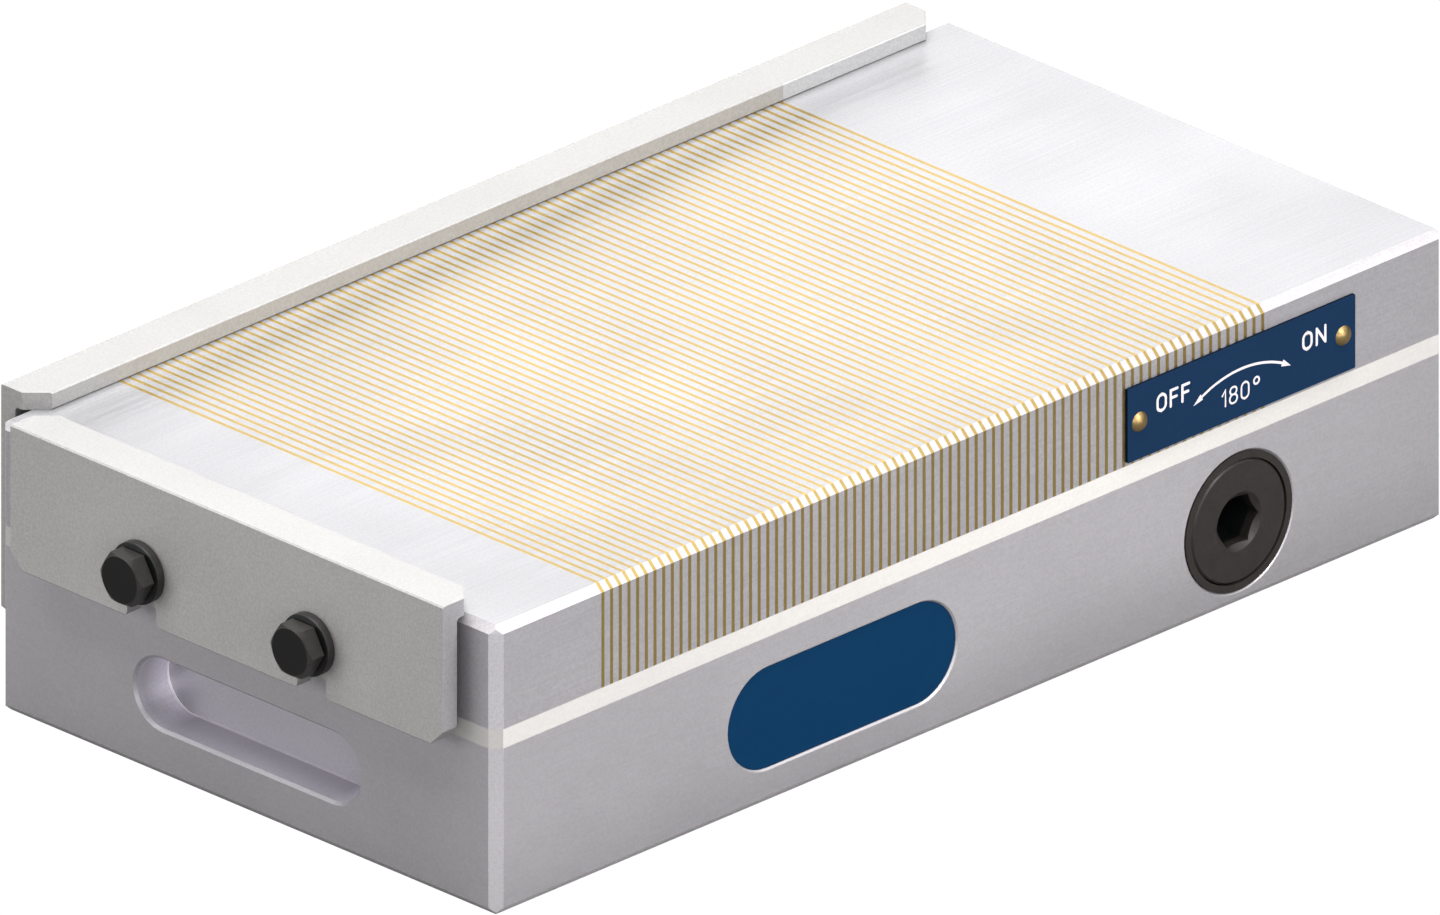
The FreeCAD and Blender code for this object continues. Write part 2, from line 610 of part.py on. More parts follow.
def shaft_circlip():
    """Open snap ring with two eared ends, behind the front bush."""
    inner = JOURNAL_RADIUS - CLIP_GROOVE_DEPTH + RUNNING_GAP
    outer = inner + CLIP_WIDTH
    low, high = clip_range()
    sweep = 360 - CLIP_MOUTH_DEGREES
    pieces = [part_turn((inner, outer), (low, high), CLIP_MOUTH_DEGREES / 2, sweep)]
    holes = []
    ear_radius = outer - CLIP_EAR_DIAMETER / 4
    for side in (-1, 1):
        turn = math.radians(side * CLIP_MOUTH_DEGREES / 2)
        x = SHAFT_X + ear_radius * math.cos(turn)
        z = SHAFT_Z + ear_radius * math.sin(turn)
        place = vector(x, low, z)
        pieces.append(cylinder(CLIP_EAR_DIAMETER / 2, CLIP_THICKNESS, place, vector(0, 1, 0)))
        holes.append(cylinder(CLIP_EAR_HOLE / 2, CLIP_THICKNESS, place, vector(0, 1, 0)))
    return union(pieces).cut(holes)


def eccentric_ring():
    half = YOKE_LENGTH / 2
    profile = [
        (ECCENTRIC_RING_BORE, -half), (ECCENTRIC_RING_RADIUS, -half),
        (ECCENTRIC_RING_RADIUS, half), (ECCENTRIC_RING_BORE, half),
    ]
    return turned(profile, vector(0, 1, 0), vector(YOKE_X, 0, SHAFT_Z))


def yoke_screw_places():
    reach_x = YOKE_SLOT_HALF + YOKE_LEG / 2
    reach_y = YOKE_SCREW_SPACING / 2
    return [(YOKE_X + i * reach_x, j * reach_y) for i in (-1, 1) for j in (-1, 1)]


def yoke_screw_outline(gap):
    """Half outline of a countersunk screw, or of its seat when the gap is added."""
    head = YOKE_SCREW_HEAD_DIAMETER / 2 + gap
    shank = YOKE_SCREW_DIAMETER / 2 + gap
    neck = -YOKE_SCREW_HEAD_HEIGHT
    tip = -YOKE_SCREW_LENGTH - gap
    return [(0, 0), (head, 0), (shank, neck), (shank, tip), (0, tip)]


def yoke_screw_seats():
    up = vector(0, 0, 1)
    outline = yoke_screw_outline(THREAD_GAP)
    return [turned(outline, up, vector(x, y, Z_CARRIAGE_FLOOR)) for x, y in yoke_screw_places()]


def yoke_screws():
    up = vector(0, 0, 1)
    screws = []
    for x, y in yoke_screw_places():
        place = vector(x, y, Z_CARRIAGE_FLOOR)
        screw = turned(yoke_screw_outline(0), up, place)
        socket = hexagon(YOKE_SCREW_KEY, YOKE_SCREW_HEAD_HEIGHT)
        socket.translate(place - vector(0, 0, YOKE_SCREW_HEAD_HEIGHT))
        screws.append(screw.cut(socket))
    return Part.makeCompound(screws)


def drive_yoke():
    """Saddle that hangs from the carriage and straddles the eccentric ring."""
    half = YOKE_LENGTH / 2
    x_range = (YOKE_X - YOKE_HALF, YOKE_X + YOKE_HALF)
    solid = block(x_range, (-half, half), (YOKE_FOOT_HEIGHT, Z_CARRIAGE))
    low = vector(x_range[0], -half, YOKE_FOOT_HEIGHT)
    high = vector(x_range[1], half, YOKE_FOOT_HEIGHT)
    solid = solid.makeChamfer(YOKE_FOOT_CHAMFER, edges_within(solid, low, high))
    slot_x = (YOKE_X - YOKE_SLOT_HALF, YOKE_X + YOKE_SLOT_HALF)
    slot = block(slot_x, (-half, half), (YOKE_FOOT_HEIGHT, Z_CARRIAGE - YOKE_BRIDGE))
    return solid.cut([slot] + yoke_screw_seats())


def magnet_carriage():
    """Shallow tray that carries the magnet and flux strips."""
    x_range = (X_CARRIAGE_LEFT, X_CARRIAGE_RIGHT)
    z_range = (Z_CARRIAGE, Z_CARRIAGE_TOP)
    outer = rounded_block(x_range, (-Y_CARRIAGE, Y_CARRIAGE), z_range, WELL_CORNER_RADIUS)
    wall = CARRIAGE_WALL
    room = block(
        (x_range[0] + wall, x_range[1] - wall),
        (-Y_CARRIAGE + wall, Y_CARRIAGE - wall),
        (Z_CARRIAGE_FLOOR, Z_CARRIAGE_TOP + REACH),
    )
    return outer.cut([room] + yoke_screw_seats())


def flux_centres():
    """Flux strips stand half a pitch short of the steel poles, and under them when switched on."""
    first = X_CARRIAGE_LEFT + CARRIAGE_WALL + FLUX_THICKNESS / 2
    last = X_CARRIAGE_RIGHT - CARRIAGE_WALL - FLUX_THICKNESS / 2
    centres = [start + STEEL_THICKNESS / 2 - TRAVEL for start in steel_starts()]
    return [centre for centre in centres if first < centre < last]


def strip_group(centres, thickness):
    y_high = Y_CARRIAGE - CARRIAGE_WALL - STRIP_END_GAP
    z_range = (Z_CARRIAGE_FLOOR, Z_CARRIAGE_TOP - STRIP_TOP_GAP)
    half = thickness / 2
    strips = [block((centre - half, centre + half), (-y_high, y_high), z_range) for centre in centres]
    return Part.makeCompound(strips)


def flux_strips():
    return strip_group(flux_centres(), FLUX_THICKNESS)


def magnet_strips():
    centres = [centre + POLE_PITCH / 2 for centre in flux_centres()[:-1]]
    return strip_group(centres, POLE_PITCH - FLUX_THICKNESS)


def slide_strips():
    """Two low-friction strips on the well floor, under the carriage."""
    half = SLIDE_STRIP_WIDTH / 2
    x_range = (X_CARRIAGE_LEFT + WELL_CORNER_RADIUS, X_CARRIAGE_RIGHT - WELL_CORNER_RADIUS)
    z_range = (WELL_FLOOR_HEIGHT, WELL_FLOOR_HEIGHT + SLIDE_STRIP_THICKNESS)
    strips = []
    for side in (-1, 1):
        middle = side * (Y_WELL - SLIDE_STRIP_INSET - half)
        strips.append(block(x_range, (middle - half, middle + half), z_range))
    return Part.makeCompound(strips)


def badge_plate():
    place = vector(BADGE_X, Y_FRONT + BADGE_SINK, BADGE_HEIGHT_UP)
    return obround(BADGE_LENGTH, BADGE_HEIGHT, BADGE_THICKNESS, vector(0, 1, 0), place)


def label_plate():
    half_length = LABEL_LENGTH / 2
    half_height = LABEL_HEIGHT / 2
    x_range = (SHAFT_X - half_length, SHAFT_X + half_length)
    z_range = (LABEL_Z - half_height, LABEL_Z + half_height)
    solid = block(x_range, (Y_FRONT - LABEL_THICKNESS, Y_FRONT), z_range)
    short = [edge for edge in solid.Edges if edge.Length < 2 * LABEL_THICKNESS]
    solid = solid.makeFillet(LABEL_CORNER_RADIUS, short)
    hole = RIVET_SHANK_DIAMETER / 2 + PRESS_GAP
    holes = [cylinder(hole, LABEL_THICKNESS, place, vector(0, -1, 0)) for place in rivet_places()]
    return solid.cut(holes)


def label_rivets():
    """Drive rivets with shallow domes."""
    dome = RIVET_DOME_DIAMETER / 2
    shank = RIVET_SHANK_DIAMETER / 2
    rise = RIVET_DOME_HEIGHT
    tip = LABEL_THICKNESS + RIVET_SHANK_LENGTH
    arc_radius = (dome ** 2 + rise ** 2) / (2 * rise)
    half_way = math.asin(dome / arc_radius) / 2
    mid_point = vector(arc_radius * math.sin(half_way), 0, rise - arc_radius * (1 - math.cos(half_way)))
    outline = [
        Part.Arc(vector(0, 0, rise), mid_point, vector(dome, 0, 0)),
        Part.LineSegment(vector(dome, 0, 0), vector(shank, 0, 0)),
        Part.LineSegment(vector(shank, 0, 0), vector(shank, 0, -tip)),
        Part.LineSegment(vector(shank, 0, -tip), vector(0, 0, -tip)),
        Part.LineSegment(vector(0, 0, -tip), vector(0, 0, rise)),
    ]
    face = Part.Face(Part.Wire([edge.toShape() for edge in outline]))
    rivets = []
    for place in rivet_places():
        rivet = face.revolve(vector(0, 0, 0), vector(0, 0, 1), 360)
        rivets.append(aimed(rivet, vector(0, -1, 0), place - vector(0, LABEL_THICKNESS, 0)))
    return Part.makeCompound(rivets)


def stop_section():
    """L section of a stop plate, drawn in Y and Z with the chuck's face at y = 0, its top at z = 0."""
    outer = STOP_OUTER
    inner = STOP_STANDOFF + SLIDE_GAP
    lip_end = outer - STOP_LIP_REACH
    top = STOP_LIP_THICKNESS
    fillet = STOP_INNER_FILLET
    small = STOP_EDGE_BREAK
    slope = fillet * (1 - math.sqrt(0.5))
    corner_start = vector(0, inner, -fillet)
    corner_middle = vector(0, inner - slope, -slope)
    corner_end = vector(0, inner - fillet, 0)
    return outer, inner, lip_end, top, small, (corner_start, corner_middle, corner_end)


def stop_plate(length, leg, bolt_offsets):
    """A stop plate along X, on the +Y side of a chuck face at y = 0."""
    outer, inner, lip_end, top, small, corner = stop_section()
    path = [
        corner[2], vector(0, lip_end + small, 0), vector(0, lip_end, small),
        vector(0, lip_end, top - small), vector(0, lip_end + small, top),
        vector(0, outer - small, top), vector(0, outer, top - small),
        vector(0, outer, small - leg), vector(0, outer - small, -leg),
        vector(0, inner + small, -leg), vector(0, inner, small - leg), corner[0],
    ]
    edges = [Part.LineSegment(a, b).toShape() for a, b in zip(path, path[1:])]
    edges.append(Part.Arc(*corner).toShape())
    solid = Part.Face(Part.Wire(edges)).extrude(vector(length, 0, 0))
    solid.translate(vector(-length / 2, 0, 0))
    return solid.cut(corner_cuts(length, leg) + [slot_cut(offset, leg) for offset in bolt_offsets])


def corner_cuts(length, leg):
    """Plan chamfers on the lip's inner ends and chamfers on the leg's lower corners."""
    outer, inner, lip_end, top, small, corner = stop_section()
    cuts = []
    for side in (-1, 1):
        end = side * (length / 2)
        size = STOP_LIP_CHAMFER
        lip = [vector(end, lip_end, 0), vector(end, lip_end + size, 0), vector(end - side * size, lip_end, 0)]
        cuts.append(prism(lip, vector(0, 0, top)))
        size = STOP_LEG_CHAMFER
        upper = vector(end, inner, size - leg)
        foot = [vector(end, inner, -leg), upper, vector(end - side * size, inner, -leg)]
        cuts.append(prism(foot, vector(0, outer - inner, 0)))
    return cuts


def slot_cut(offset, leg):
    """Slot open at the leg's lower edge, with a round top and a rounded mouth."""
    half = SLOT_WIDTH / 2
    top = SLOT_ABOVE_LEG_EDGE - leg
    mouth = SLOT_MOUTH_RADIUS
    slope = mouth * (1 - math.sqrt(0.5))
    y = 0.0
    left = offset - half
    right = offset + half
    left_top = vector(left, y, top)
    right_top = vector(right, y, top)
    left_neck = vector(left, y, mouth - leg)
    right_neck = vector(right, y, mouth - leg)
    left_foot = vector(left - mouth, y, -leg)
    right_foot = vector(right + mouth, y, -leg)
    edges = [
        Part.Arc(left_top, vector(offset, y, top + half), right_top),
        Part.LineSegment(right_top, right_neck),
        Part.Arc(right_neck, vector(right + slope, y, slope - leg), right_foot),
        Part.LineSegment(right_foot, left_foot),
        Part.Arc(left_foot, vector(left - slope, y, slope - leg), left_neck),
        Part.LineSegment(left_neck, left_top),
    ]
    face = Part.Face(Part.Wire([edge.toShape() for edge in edges]))
    return face.extrude(vector(0, 2 * STOP_OUTER, 0))


def end_stop():
    offsets = [place.y for place in bolt_places_end()]
    solid = stop_plate(BODY_WIDTH - 2 * END_STOP_INSET, END_STOP_LEG, offsets)
    solid.rotate(vector(0, 0, 0), vector(0, 0, 1), 90)
    solid.translate(vector(X_LEFT, 0, Z_TOP))
    return solid


def side_rail():
    offsets = [place.x for place in bolt_places_rail()]
    solid = stop_plate(BODY_LENGTH - 2 * SIDE_RAIL_INSET, SIDE_RAIL_LEG, offsets)
    solid.translate(vector(0, Y_BACK, Z_TOP))
    return solid


def hex_bolt(phase):
    """Bolt along +Z, its head on a thin round collar whose underside is at z = 0."""
    flat = BOLT_ACROSS_FLATS / 2 * BOLT_FACE_SHARE
    slope = math.tan(math.radians(BOLT_CHAMFER_DEGREES))
    spread = BOLT_HEAD_HEIGHT / slope
    head = hexagon(BOLT_ACROSS_FLATS, BOLT_HEAD_HEIGHT, phase)
    head = head.common(Part.makeCone(flat + spread, flat, BOLT_HEAD_HEIGHT))
    head.translate(vector(0, 0, BOLT_COLLAR_HEIGHT))
    up = vector(0, 0, 1)
    collar = cylinder(BOLT_COLLAR_DIAMETER / 2, BOLT_COLLAR_HEIGHT, vector(0, 0, 0), up)
    shank = cylinder(BOLT_DIAMETER / 2, BOLT_LENGTH, vector(0, 0, -BOLT_LENGTH), up)
    return union([head, collar, shank])


def washer():
    """A thick washer from z = 0 up, with its outer edge broken on the side of the bolt's head."""
    outer = WASHER_DIAMETER / 2
    inner = BOLT_DIAMETER / 2 + WASHER_BORE_GAP
    top = WASHER_THICKNESS + SLIDE_GAP
    edge = WASHER_EDGE
    profile = [(inner, 0), (outer, 0), (outer, top - edge), (outer - edge, top), (inner, top)]
    return turned(profile, vector(0, 0, 1), vector(0, 0, 0))


def standoff_ring():
    outer = STANDOFF_DIAMETER / 2
    inner = BOLT_DIAMETER / 2 + WASHER_BORE_GAP
    profile = [(inner, 0), (outer, 0), (outer, STOP_STANDOFF), (inner, STOP_STANDOFF)]
    return turned(profile, vector(0, 0, 1), vector(0, 0, 0))


def at_bolts(make_piece, places, axis, height):
    """One copy of a piece at each bolt, pointing out of the face it stands on."""
    return Part.makeCompound([aimed(make_piece(), axis, place + axis * height) for place in places])


def bolt_group(places, axis, phase):
    return at_bolts(lambda: hex_bolt(phase), places, axis, BOLT_GRIP)


def washer_group(places, axis):
    return at_bolts(washer, places, axis, STOP_OUTER + SLIDE_GAP)


def standoff_group(places, axis):
    return at_bolts(standoff_ring, places, axis, 0)


def build():
    """Every piece of the chuck by name."""
    plate = whole_pole_plate()
    brass = [plate_slice(plate, start, start + BRASS_THICKNESS) for start in brass_starts()]
    steel = [plate_slice(plate, start, start + STEEL_THICKNESS) for start in steel_starts()]
    left = vector(-1, 0, 0)
    back = vector(0, 1, 0)
    ends = bolt_places_end()
    rails = bolt_places_rail()
    return {
        "base_body": base_body(),
        "spacer_frame": spacer_frame(),
        "pole_block_left": plate_slice(plate, X_LEFT, X_LAMINATED),
        "pole_block_right": plate_slice(plate, X_RIGHT_BLOCK, X_RIGHT),
        "steel_laminations": Part.makeCompound(steel),
        "brass_laminations": Part.makeCompound(brass),
        "body_screws": body_screws(),
        "front_bush": front_bush(),
        "rear_bush": rear_bush(),
        "stop_pin": stop_pin(),
        "slide_strips": slide_strips(),
        "magnet_carriage": magnet_carriage(),
        "magnet_strips": magnet_strips(),
        "flux_strips": flux_strips(),
        "drive_yoke": drive_yoke(),
        "yoke_screws": yoke_screws(),
        "actuator_shaft": actuator_shaft(),
        "eccentric_ring": eccentric_ring(),
        "shaft_circlip": shaft_circlip(),
        "shaft_oring": shaft_oring(),
        "label_plate": label_plate(),
        "label_rivets": label_rivets(),
        "badge_plate": badge_plate(),
        "end_stop": end_stop(),
        "end_stop_bolts": bolt_group(ends, left, 30.0),
        "end_stop_washers": washer_group(ends, left),
        "end_stop_spacers": standoff_group(ends, left),
        "side_rail": side_rail(),
        "side_rail_bolts": bolt_group(rails, back, 0.0),
        "side_rail_washers": washer_group(rails, back),
        "side_rail_spacers": standoff_group(rails, back),
    }


os.makedirs("parts", exist_ok=True)
for name, shape in build().items():
    shape.exportStep("parts/" + name + ".step")
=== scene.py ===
# %% [markdown]
# A magnetic chuck is a block of machined steel that holds work on a grinder or a mill. Its top is a
# pack of steel and brass strips, and a key in the front turns the magnets under it on and off.
# The measured parts come in first, at their true size and place. Everything that follows either
# gives one of them a finish or stands a finer piece in its place, so nothing is measured twice.
# Four short helpers make, place and link what the later cells build.

import math

import bmesh
import bpy
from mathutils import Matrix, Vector


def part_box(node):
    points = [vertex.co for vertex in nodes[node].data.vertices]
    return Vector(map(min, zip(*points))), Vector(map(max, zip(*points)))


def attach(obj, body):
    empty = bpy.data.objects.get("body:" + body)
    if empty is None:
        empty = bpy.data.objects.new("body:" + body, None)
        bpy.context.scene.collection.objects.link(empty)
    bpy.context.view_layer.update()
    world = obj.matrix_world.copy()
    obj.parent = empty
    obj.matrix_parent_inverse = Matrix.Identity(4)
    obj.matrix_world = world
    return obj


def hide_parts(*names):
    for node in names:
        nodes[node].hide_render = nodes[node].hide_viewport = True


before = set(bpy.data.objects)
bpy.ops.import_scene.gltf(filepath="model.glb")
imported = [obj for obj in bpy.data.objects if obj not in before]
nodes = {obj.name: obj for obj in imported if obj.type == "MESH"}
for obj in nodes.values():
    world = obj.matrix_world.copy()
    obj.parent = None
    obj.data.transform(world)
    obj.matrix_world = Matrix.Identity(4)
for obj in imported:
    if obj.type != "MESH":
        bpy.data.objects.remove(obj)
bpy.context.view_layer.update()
MM = 0.001


def in_scene(name, data):
    """A new object that stands in the scene."""
    made = bpy.data.objects.new(name, data)
    bpy.context.scene.collection.objects.link(made)
    return made


def put(tree, kind, inputs=None, **settings):
    """A new node, with its settings and the fixed values of its inputs."""
    node = tree.nodes.new(kind)
    for key, value in settings.items():
        setattr(node, key, value)
    for key, value in (inputs or {}).items():
        node.inputs[key].default_value = value
    return node


def link(tree, *pairs):
    for source, target in pairs:
        tree.links.new(source, target)


def point_along(thing, place, direction):
    """Put a camera or a lamp at a place, looking along a direction."""
    thing.location = place
    thing.rotation_mode = "QUATERNION"
    thing.rotation_quaternion = direction.to_track_quat("-Z", "Y")


# %% [markdown]
# The picture is a product view whose parallel edges stay parallel, so the camera is orthographic.
# Its direction is 45 degrees round from the front and 25 degrees above the table, and its view is
# as wide as the chuck looks from there.

# %% Camera
VIEW_WIDTH = 224.98 * MM
TARGET = Vector((2.720, 3.200, 25.019)) * MM
AZIMUTH = math.radians(-45)
ELEVATION = math.radians(25)
CAMERA_DISTANCE = 2.0

towards_camera = Vector((
    math.sin(AZIMUTH) * math.cos(ELEVATION),
    -math.cos(AZIMUTH) * math.cos(ELEVATION),
    math.sin(ELEVATION),
))
camera_data = bpy.data.cameras.new("product_view")
camera_data.type = "ORTHO"
camera_data.ortho_scale = VIEW_WIDTH
camera_data.clip_start = 0.1
camera_data.clip_end = 10 * CAMERA_DISTANCE
camera = in_scene("product_view", camera_data)
point_along(camera, TARGET + towards_camera * CAMERA_DISTANCE, -towards_camera)
bpy.context.scene.camera = camera
print("camera sees a width of", round(VIEW_WIDTH / MM, 1), "mm")

# %% [markdown]
# Ground steel shows its light more than its colour, so the light is planned by surface: each box
# stands where one face, as the camera sees it, mirrors it. The overhead box and the low one behind
# at the right make the top almost white, and the low one also throws the soft shadow beside the
# rail. The small near box and a painted highlight on the block and the band give the front its
# soft bright middle, the low one at the back on the left lights the end face past the bolts. The
# standard colour transform keeps whites white.

# %% Softboxes
bpy.context.scene.view_settings.view_transform = "Standard"
bpy.context.scene.view_settings.look = "None"


def softbox(name, place, aim, width, depth, brightness):
    """An area light whose surface has the brightness given, so its size can change alone."""
    data = bpy.data.lights.new(name, "AREA")
    data.shape = "RECTANGLE"
    data.size = width
    data.size_y = depth
    data.energy = brightness * math.pi * width * depth
    lamp = in_scene(name, data)
    point_along(lamp, place, Vector(aim) - Vector(place))
    return lamp


AIM = (0, 0, 0.03)
boxes = [
    softbox("overhead_box", (0.0, 0.1, 1.4), AIM, 1.6, 1.4, 10.9),
    softbox("back_right_low_box", (1.05, 1.05, 0.24), AIM, 1.3, 0.45, 6.6),
    softbox("back_left_high_box", (-0.65, 0.98, 1.0), AIM, 1.0, 1.0, 0.9),
    softbox("left_back_low_box", (-1.25, 0.68, 0.35), AIM, 0.8, 0.6, 6.9),
    softbox("corner_box", (-0.95, -0.95, 0.35), AIM, 0.8, 0.5, 6.1),
    softbox("front_low_box", (0.0, -1.3, 0.3), AIM, 0.9, 0.5, 6.5),
    softbox("front_near_box", (0.02, -0.42, 0.36), (0.0, -0.05, 0.02), 0.25, 0.2, 18.4),
    softbox("front_right_high_box", (0.96, -0.63, 0.99), AIM, 0.9, 0.9, 1.9),
    softbox("front_right_low_box", (0.95, -1.0, 0.45), AIM, 0.8, 0.6, 0.9),
]
print("softboxes:", [lamp.name for lamp in boxes])

# %% [markdown]
# The room round the chuck is dim and even, and hardly opens up the shadows. Only the eye sees it
# as paper white, like the ground, where a low view looks past the edge of the ground.

# %% Room
ROOM_BRIGHTNESS = 0.02
PAPER_WHITE = 1.02
world = bpy.data.worlds.new("pale_room")
bpy.context.scene.world = world
world.use_nodes = True
room = world.node_tree
background = room.nodes["Background"]
background.inputs["Color"].default_value = (1.0, 1.0, 1.0, 1)
room_path = put(room, "ShaderNodeLightPath")
room_strength = put(room, "ShaderNodeMapRange", {"To Min": ROOM_BRIGHTNESS, "To Max": PAPER_WHITE})
link(room, (room_path.outputs["Is Camera Ray"], room_strength.inputs["Value"]),
     (room_strength.outputs["Result"], background.inputs["Strength"]))
print("room brightness:", ROOM_BRIGHTNESS)

# %% [markdown]
# Each finish is built from the same few moves: a noise that reads the piece's own coordinates, a
# range it is spread over, two tones mixed by it, and a relief it presses into the surface. These
# helpers name the moves, so that each finish reads as a recipe.

# %% Helpers for finishes
def finish(name, tone, metallic, roughness, gloss=0.5):
    """A new finish with its main shader set, as (material, tree, shader)."""
    material = bpy.data.materials.new(name)
    material.use_nodes = True
    shader = material.node_tree.nodes["Principled BSDF"]
    values = {"Base Color": (*tone, 1), "Metallic": metallic, "Roughness": roughness,
              "Specular IOR Level": gloss}
    for key, value in values.items():
        shader.inputs[key].default_value = value
    material.diffuse_color = (*tone, 1)
    return material, material.node_tree, shader


def noise(tree, grains, detail=2.0, offset=0.0, roughness=0.5):
    """A noise with this many grains per metre, one number or one each for X, Y and Z."""
    stretch = grains if isinstance(grains, tuple) else (grains,) * 3
    place = put(tree, "ShaderNodeTexCoord")
    mapping = put(tree, "ShaderNodeMapping", {"Scale": stretch, "Location": (offset,) * 3})
    texture = put(tree, "ShaderNodeTexNoise", {"Scale": 1.0, "Detail": detail, "Roughness": roughness})
    link(tree, (place.outputs["Object"], mapping.inputs["Vector"]),
         (mapping.outputs["Vector"], texture.inputs["Vector"]))
    return texture.outputs[0]


def spread(tree, value, low, high, start=0.3, end=0.7):
    """The value moved from the range start to end onto the range low to high."""
    ranges = {"From Min": start, "From Max": end, "To Min": low, "To Max": high}
    node = put(tree, "ShaderNodeMapRange", ranges)
    tree.links.new(value, node.inputs["Value"])
    return node.outputs["Result"]


def join(tree, operation, first, second=0.0):
    """A sum, product or comparison. Each value is a number or the output of a node."""
    node = put(tree, "ShaderNodeMath", operation=operation)
    for socket, value in zip(node.inputs, (first, second)):
        if isinstance(value, (int, float)):
            socket.default_value = value
        else:
            tree.links.new(value, socket)
    return node.outputs[0]


def two_tones(tree, share, low, high, blend="MIX"):
    """Two colours mixed by a share. Each colour is a tone or the output of a node."""
    node = put(tree, "ShaderNodeMix", data_type="RGBA", blend_type=blend)
    sockets = {s.identifier: s for s in node.inputs}
    for key, colour in (("A_Color", low), ("B_Color", high)):
        if isinstance(colour, tuple):
            sockets[key].default_value = (*colour, 1)
        else:
            tree.links.new(colour, sockets[key])
    tree.links.new(share, node.inputs["Factor"])
    return {s.identifier: s for s in node.outputs}["Result_Color"]


def relief(tree, shader, height, strength, depth_mm):
    node = put(tree, "ShaderNodeBump", {"Strength": strength, "Distance": depth_mm * MM})
    link(tree, (height, node.inputs["Height"]), (node.outputs["Normal"], shader.inputs["Normal"]))


def shade(tone, factor):
    return tuple(channel * factor for channel in tone)


print("helpers for finishes ready")

# %% [markdown]
# Studio light puts tones on single faces that no even finish has. So a finish can be made lighter
# or darker in a region, which is a rule on the piece's own coordinates. All its numbers are in mm.

# %% Helpers for regions
def place_in_mm(tree):
    """The piece's own X, Y and Z in mm."""
    place = put(tree, "ShaderNodeTexCoord")
    scaled = put(tree, "ShaderNodeVectorMath", {"Scale": 1 / MM}, operation="SCALE")
    split = put(tree, "ShaderNodeSeparateXYZ")
    link(tree, (place.outputs["Object"], scaled.inputs[0]), (scaled.outputs[0], split.inputs[0]))
    return split.outputs["X"], split.outputs["Y"], split.outputs["Z"]


def over(tree, value, limit):
    return join(tree, "GREATER_THAN", value, limit)


def under(tree, value, limit):
    return join(tree, "LESS_THAN", value, limit)


def all_of(tree, first, *others):
    """Where all the regions hold, as their product."""
    for other in others:
        first = join(tree, "MULTIPLY", first, other)
    return first


def within(tree, value, low, high):
    """1 where the value lies between low and high, and 0 elsewhere."""
    return all_of(tree, over(tree, value, low), under(tree, value, high))


def size_of(tree, value):
    return join(tree, "ABSOLUTE", value)


def retone(material, region, factors):
    """Multiply a finish's tone in a region, by one factor or one for each channel."""
    tree = material.node_tree
    socket = tree.nodes["Principled BSDF"].inputs["Base Color"]
    factors = factors if isinstance(factors, tuple) else (factors,) * 3
    share = region(tree, *place_in_mm(tree))
    tree.links.new(two_tones(tree, share, socket.links[0].from_socket, factors, "MULTIPLY"), socket)


print("helpers for regions ready")

# %% [markdown]
# The sides of the block are milled and then finely ground. The eye reads them as an even lavender
# grey with a very fine grain along the length. Cloudy variation a few centimetres wide keeps the
# large faces alive.

# %% Machined steel of the block
CLOUD_GRAINS = 34
PIT_GRAINS = 2300


def worked_steel(name, tone, metallic, roughness, streaks, contrast, depth_mm):
    material, tree, shader = finish(name, tone, metallic, roughness)
    fine = noise(tree, streaks, detail=3.0, roughness=0.65)
    cloud = noise(tree, CLOUD_GRAINS, detail=2.0, offset=3.7)
    pits = noise(tree, PIT_GRAINS, detail=1.0, offset=9.1)
    mixed = join(tree, "ADD", join(tree, "MULTIPLY", fine, 0.5), join(tree, "MULTIPLY", pits, 0.5))
    share = join(tree, "ADD", spread(tree, mixed, 0.0, 1.0, 0.38, 0.62), spread(tree, cloud, -0.12, 0.12))
    colour = two_tones(tree, share, shade(tone, 1 - contrast), shade(tone, 1 + contrast))
    wear = spread(tree, mixed, roughness - 0.06, roughness + 0.06)
    dull = join(tree, "ADD", wear, spread(tree, cloud, -0.03, 0.03))
    link(tree, (colour, shader.inputs["Base Color"]), (dull, shader.inputs["Roughness"]))
    relief(tree, shader, mixed, 0.35, depth_mm)
    return material


STEEL_TONE = (0.300, 0.289, 0.304)
INNER_TONE = shade(STEEL_TONE, 0.8)
block_steel = worked_steel("milled_side_steel", STEEL_TONE, 0.55, 0.46, (150, 4200, 4200), 0.065, 0.004)
plate_steel = worked_steel("ground_plate_steel", STEEL_TONE, 0.55, 0.42, (30, 2600, 2600), 0.080, 0.004)
inner_steel = worked_steel("turned_inner_steel", INNER_TONE, 0.8, 0.4, 900, 0.05, 0.004)
print("steels:", block_steel.name, plate_steel.name, inner_steel.name)

# %% [markdown]
# A grinding wheel leaves a few longer, darker marks along the length. Painted light makes each
# ground corner and milled pocket lighter than the side it is cut into, and lightens the top
# chamfer, the foot chamfer and the middle of the front. Painted shade darkens the top towards the
# front and the left end, and the front towards its foot. These are set by place.

# %% Grinding marks, and painted light and shade by place
HALF_LENGTH = 105.0
HALF_WIDTH = 55.0
TOP = 50.0
SKIN = 0.05
CHAMFER_FOOT = 48.72
FOOT_CHAMFER_TOP = 1.52
CORNER_REACH = 158.35
POCKET_MIDDLE = 14.5
POCKET_HALF_HEIGHT = 6.5
POCKET_HALF_WIDTH = 25.4
POCKET_FLOOR = 97.43
POCKET_MOUTH = 104.5
PAINTED_LIGHT_X = 18.0


def grinding_marks(tree, x, y, z):
    lines = noise(tree, (4, 640, 640), detail=4.0, offset=6.3, roughness=0.6)
    broad = noise(tree, (9, 75, 75), detail=1.0, offset=4.4)
    return join(tree, "ADD", spread(tree, lines, 0.6, 0.0, 0.28, 0.44), spread(tree, broad, 0.4, 0.0))


def top_face(tree, x, y, z):
    return over(tree, z, TOP - SKIN)


